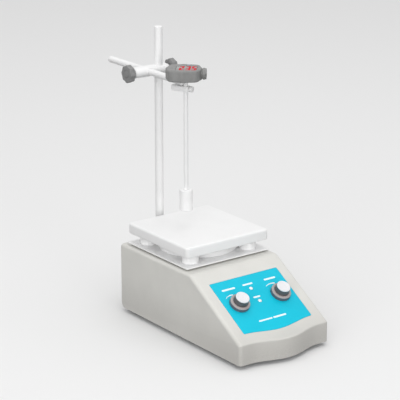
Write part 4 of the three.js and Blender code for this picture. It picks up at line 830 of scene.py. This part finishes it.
def build_arm():
    arm_r, arm_from, arm_end = 4, 7.4, 156.5
    pin_hole, clamp_height = 3.3, -3.1
    arm = moved(turned([(0, arm_from, 0), (arm_r, arm_from, 1.0), (arm_r, arm_end, 1.4),
                        (0, arm_end, 0)], 56, 5), TO_Y)
    arm = carved(arm, [moved(cylinder(pin_hole, 12.0, -6.0), at(0, PIVOT_Y, 0))])
    to_object("arm_bar", arm, at(ARM_X, 0, BOSS_Z), "side_arm", "white_coated_steel", ["arm"])
    pin = turned([(0, -5.6, 0), (1.5, -5.6, 0.2), (1.5, 8.0, 0.3), (0, 8.0, 0)], 32)
    to_object("pivot_pin", pin, at(ARM_X, PIVOT_Y, HOLDER_Z), "side_arm", "steel",
              ["holder_pivot_pin"])
    block = rounded_slab(8.4, 22.4, 2.0, 6.2, 0.5, 0.5, -6.2, 4)
    block = carved(moved(block, at(0, 0.6, 0)), [
        moved(cylinder(5.6, 10.0, -8.0), at(0, -STEM_OFFSET, 0)),
        cylinder(pin_hole, 8.0, -5.9),
        moved(cylinder(pin_hole, 6.0, 0.0, 32), at(0, -11.6, clamp_height) @ TO_Y),
    ])
    to_object("holder_block", block, HOLDER, "holder", "white_coated_steel",
              ["probe_holder"], 34.0)
    screw = turned([(0, -0.1, 0), (3.5, -0.1, 0.5), (3.5, 4.3, 0.5), (1.5, 4.3, 0.1),
                    (1.5, 6.3, 0.1), (0, 6.3, 0)], 40)
    to_object("holder_screw_grip", screw, HOLDER @ at(0, -15.2, clamp_height) @ TO_Y,
              "holder_clamp", "white_coated_steel", ["holder_screw"])


# Thermometer

# Both ends of each of a figure's seven bars, as shares of its width and height
SEGMENTS = {"a": (0, 1, 1, 1), "b": (1, 1, 1, 0.5), "c": (1, 0.5, 1, 0), "d": (0, 0, 1, 0),
            "e": (0, 0.5, 0, 0), "f": (0, 1, 0, 0.5), "g": (0, 0.5, 1, 0.5)}
DIGITS = {"2": "abged", "3": "abgcd", "5": "afgcd"}
DIGIT_GAP, DIGIT_T = 0.3, 0.12


def digit(symbol, x, y, width, height, stroke):
    """Bars of one seven-part figure."""
    made = []
    for key in DIGITS[symbol]:
        x0, y0, x1, y1 = SEGMENTS[key]
        if x0 != x1:
            size = (width + stroke, stroke, DIGIT_T)
        else:
            size = (stroke, height / 2 - stroke - DIGIT_GAP, DIGIT_T)
        made.append(boxed(size, (x + (x0 + x1) / 2 * width, y + (y0 + y1) / 2 * height, 0)))
    return made


def build_thermometer():
    case_shift, window_x, window_y = 1.2, CASE_X + 4.4, CASE_Y - 3.4
    window_width, window_depth, window_corner, window_gap = 24, 20, 2.8, 0.3
    rings = [[(x + CASE_X + case_shift, y + CASE_Y, z)
              for x, y in lobed(21.4, 19.6, 8, 1.3, inset, 176, fullness=2.75)]
             for z, inset in levels(CASE_H, 1.8, 2.0, 8)]
    hole = rounded_rect(window_width + 2 * window_gap, window_depth + 2 * window_gap,
                        window_corner + window_gap)
    case = carved(stack(rings), [
        moved(prism(hole, CASE_H - 1.5, CASE_H + 1.0), at(window_x, window_y, 0)),
        cylinder(5.9, 9.3, -1.0),
        moved(cylinder(5.2, 6.0, CASE_H - 4.2), at(BUTTON_X, BUTTON_Y, 0)),
        moved(cylinder(12.6, 12.0, 12.6, 56), at(0, CASE_Y, CASE_H / 2) @ TO_X),
    ])
    to_object("case_shell", case, CASE, "thermometer", "case_plastic",
              ["thermometer_case"], 34.0)

    neck_r, neck_from, collar_r, collar_from, collar_end, end_r, end = (
        6.0, 12.9, 6.9, 20.0, 22.4, 6.5, 24.2)
    cap = turned([
        (0, neck_from, 0), (neck_r, neck_from, 0.5), (neck_r, collar_from, 0.1),
        (collar_r, collar_from, 0.4), (collar_r, collar_end, 0.3), (end_r, collar_end, 0.1),
        (end_r, end, 0.8), (0, end, 0)], 64, 5)
    cap = carved(moved(cap, TO_X), [boxed((2.4, 15.0, 1.6), (end, 0, 0))])
    to_object("case_cap", cap, CASE @ at(0, CASE_Y, CASE_H / 2), "thermometer",
              "case_plastic", ["battery_cap"], 34.0)

    glass = rounded_slab(window_width, window_depth, window_corner, 1.2, 0.1, 0.25, steps=3)
    to_object("window_glass", glass, CASE @ at(window_x, window_y, CASE_H - 1.22),
              "thermometer", "display", ["display_window"], 34.0)
    figures = []
    for symbol, left in (("2", -6.95), ("3", 0.65), ("5", 7.45)):
        figures += digit(symbol, left, -8.3, 2.9, 16.6, 2.6)
    to_object("window_digits", merged(*figures), CASE @ at(window_x, window_y, CASE_H - 0.07),
              "thermometer", "display", (), 30.0, "digits_red")
    button = turned([(0, 0, 0), (2.3, 0, 0.2), (2.3, 3.8, 0.6), (0, 3.8, 0)], 40, 5)
    to_object("button_top", button, CASE @ at(BUTTON_X, BUTTON_Y, CASE_H - 3.0), "button",
              "cap_plastic", ["display_button"], 38.0, "button_plastic")

    stem_r, stem_from, stem_top = 2.65, 132.9, 297.8
    sleeve_r, sleeve_from, sleeve_top, bore_r, bore_from = 7.8, 130.6, 156.0, 2.95, 132.6
    stem = turned([(0, stem_from, 0), (stem_r, stem_from, 0.3), (stem_r, stem_top, 0.3),
                   (0, stem_top, 0)], 40)
    to_object("stem_tube", stem, ON_STEM, "thermometer", "white_coated_steel", ["probe_stem"])
    sleeve = turned([
        (0, sleeve_from, 0), (sleeve_r, sleeve_from, 1.0), (sleeve_r, sleeve_top, 1.0),
        (bore_r, sleeve_top, 0.3), (bore_r, bore_from, 0), (0, bore_from, 0)], 64, 5)
    to_object("sleeve_tube", sleeve, ON_STEM, "thermometer", "white_coated_steel",
              ["probe_sleeve"])


# Rear fittings and feet

def build_rear_fittings():
    mouth_width, mouth_height, corner, pocket = 22.5, 14.6, 2.5, -12.5
    flange = rounded_slab(31, 23.5, corner, 2.2, 0.1, 0.7, 0.3)
    body = rounded_slab(27, 19.6, corner, 19.0, 0.4, 0.1, -18.0)
    mouth = prism(rounded_rect(mouth_width, mouth_height, corner), pocket, 4.0)
    flare = stack([
        [(x, y, z) for x, y in rounded_rect(mouth_width + 2 * grown, mouth_height + 2 * grown,
                                            corner + grown)]
        for z, grown in ((1.7, 0.0), (2.6, 0.9))])
    body = carved(flange, [body], "UNION")
    to_object("inlet_body", carved(body, [mouth, flare]), INLET_ON_WALL, "base",
              "black_plastic", ["mains_inlet"], 32.0)
    pins = [moved(rounded_slab(2.0, 4.0, 0.4, 9.4, 0.1, 0.6, pocket + 0.1, corner_steps=4),
                  at(x, y, 0)) for x, y in ((-7, -2), (7, -2), (0, 2))]
    to_object("inlet_pins", merged(*pins), INLET_ON_WALL, "base", "black_plastic", (), 32.0,
              "brass")

    barrel_r, barrel_end, flange_r, flange_top, grip_r, grip_top = 6, -17, 8, 2.1, 5.5, 8.1
    fuse = turned([
        (0, barrel_end, 0), (barrel_r, barrel_end, 0.6), (barrel_r, 0.3, 0), (flange_r, 0.3, 0.2),
        (flange_r, flange_top, 0.7), (5.7, flange_top, 0.3), (grip_r, 2.6, 0.2),
        (grip_r, grip_top, 0.8), (0, grip_top, 0)], 64, 5)
    to_object("fuse_cap", carved(fuse, [boxed((14.0, 1.6, 2.4), (0, 0, grip_top))]),
              FUSE_ON_WALL, "base", "black_plastic", ["fuse_holder"], 32.0)


def build_feet():
    well_r, well_top, bore_r, top = 3.7, 3.2, 1.8, 5.5
    head_r, head_top, thread_r, tip = 2.9, 2.0, 1.35, 13.4
    places = [(x, y) for x in (-49.95, 49.95) for y in (-148.6, 47.0)]
    for number, (x, y) in enumerate(places, 1):
        pad = turned([
            (well_r, well_top, 0), (well_r, 0, 0.4), (8.5, 0, 1.2), (10, top, 1.4),
            (bore_r, top, 0.1), (bore_r, well_top, 0.1), (well_r, well_top, 0)], 56, 5)
        to_object(f"foot_pad_{number}", pad, at(x, y, -FOOT_HEIGHT), "base", "foot_rubber",
                  [f"foot_{number}"], 36.0)
        screw = turned([
            (0, 0, 0), (head_r, 0, 0.8), (head_r, head_top, 0.2), (thread_r, head_top, 0.1),
            (thread_r, tip, 0.3), (0, tip, 0)], 40, 5)
        to_object(f"foot_fixing_{number}", carved(screw, [boxed((7.0, 1.0, 1.6), (0, 0, 0))]),
                  at(x, y, 0.9 - FOOT_HEIGHT), "base", "steel", [f"foot_screw_{number}"], 34.0)


def dress_frame():
    """Gives every CAD node its slot's material."""
    slots = {row["node"]: row["material_slot"] for row in frame["record"]["subparts"]}
    for name, node in frame["nodes"].items():
        node.data.materials.clear()
        node.data.materials.append(MATERIALS[slots[name]])


# Floor, camera and light

FLOOR_HALF = 12.0
FLOOR_SEEN, FLOOR_LIT = rgb(238, 238, 238), rgb(60, 60, 60)
WHITE = (1.0, 1.0, 1.0, 1.0)
WORLD_LIGHT, WORLD_SEEN = 0.70, 1.0

# The photo's view, solved from its straight edges: focal length in pixels of a 400-pixel frame
AZIMUTH, ELEVATION, DISTANCE = math.radians(-36.709), math.radians(17.617), 2042.8
TARGET = (-2.43, -7.53, 143.56)
FOCAL, FRAME_WIDTH, SENSOR = 1730.15, 400.0, 36.0

# Name, place in metres, size in metres, power in watts
LIGHTS = (("top_light", (0.2, -0.1, 2.4), 2.4, 15.0),
          ("fill_light", (-1.826, -1.826, 1.344), 1.8, 14.0),
          ("side_light", (-2.579, -1.203, 0.289), 1.2, 18.0),
          ("front_light", (-0.396, -2.818, 0.289), 1.2, 16.0))
LIT_POINT = (0, 0, 0.14)


def seen_ray(tree):
    """1 where the camera, a reflection or a clear material looks, 0 for light on its way."""
    path = tree.nodes.new("ShaderNodeLightPath")
    seen = path.outputs["Is Camera Ray"]
    for kind in ("Is Glossy Ray", "Is Transmission Ray"):
        either = tree.nodes.new("ShaderNodeMath")
        either.operation = "MAXIMUM"
        tree.links.new(seen, either.inputs[0])
        tree.links.new(path.outputs[kind], either.inputs[1])
        seen = either.outputs[0]
    return seen


def build_stage():
    """A floor that looks pale but throws little light back up."""
    t = Tree("floor_paint")
    shade = t.mix(seen_ray(t.material.node_tree), FLOOR_LIT, FLOOR_SEEN)
    material = t.finish(shade, t.ramp(t.noise(3.0), 0.85, 0.95))
    bm = bmesh.new()
    bmesh.ops.create_grid(bm, x_segments=2, y_segments=2, size=FLOOR_HALF)
    mesh = bpy.data.meshes.new("floor")
    bm.to_mesh(mesh)
    bm.free()
    floor = bpy.data.objects.new("floor", mesh)
    bpy.context.scene.collection.objects.link(floor)
    floor.data.materials.append(material)


def build_camera():
    back = Vector((math.sin(AZIMUTH) * math.cos(ELEVATION),
                   -math.cos(AZIMUTH) * math.cos(ELEVATION), math.sin(ELEVATION)))
    data = bpy.data.cameras.new("camera")
    data.sensor_width = SENSOR
    data.lens = SENSOR * FOCAL / FRAME_WIDTH
    data.clip_end = 50.0
    camera = bpy.data.objects.new("camera", data)
    bpy.context.scene.collection.objects.link(camera)
    camera.location = PLACE @ Vector(TARGET) + back * DISTANCE * MM
    camera.rotation_euler = back.to_track_quat("Z", "Y").to_euler()
    bpy.context.scene.camera = camera


def build_lights():
    for name, place, size, watts in LIGHTS:
        lamp = bpy.data.lights.new(name, "AREA")
        lamp.shape = "DISK"
        lamp.size = size
        lamp.energy = watts
        made = bpy.data.objects.new(name, lamp)
        bpy.context.scene.collection.objects.link(made)
        made.location = place
        towards = Vector(place) - Vector(LIT_POINT)
        made.rotation_euler = towards.to_track_quat("Z", "Y").to_euler()


def build_world():
    """A white background that lights the object less than it shows."""
    world = bpy.data.worlds.new("studio")
    bpy.context.scene.world = world
    world.use_nodes = True
    tree = world.node_tree
    light = tree.nodes["Background"]
    shown = tree.nodes.new("ShaderNodeBackground")
    for background, strength in ((light, WORLD_LIGHT), (shown, WORLD_SEEN)):
        background.inputs["Color"].default_value = WHITE
        background.inputs["Strength"].default_value = strength
    blend = tree.nodes.new("ShaderNodeMixShader")
    tree.links.new(seen_ray(tree), blend.inputs[0])
    tree.links.new(light.outputs[0], blend.inputs[1])
    tree.links.new(shown.outputs[0], blend.inputs[2])
    tree.links.new(blend.outputs[0], tree.nodes["World Output"].inputs["Surface"])


bpy.context.scene.view_settings.view_transform = "Standard"
build_camera()
build_lights()
build_world()
build_stage()
dress_frame()
build_housing()
build_plate_group()
build_panel()
build_knob("stir", "stir_control", -KNOB_X)
build_knob("heat", "heat_control", KNOB_X)
build_stand()
build_boss()
build_arm()
build_thermometer()
build_rear_fittings()
build_feet()
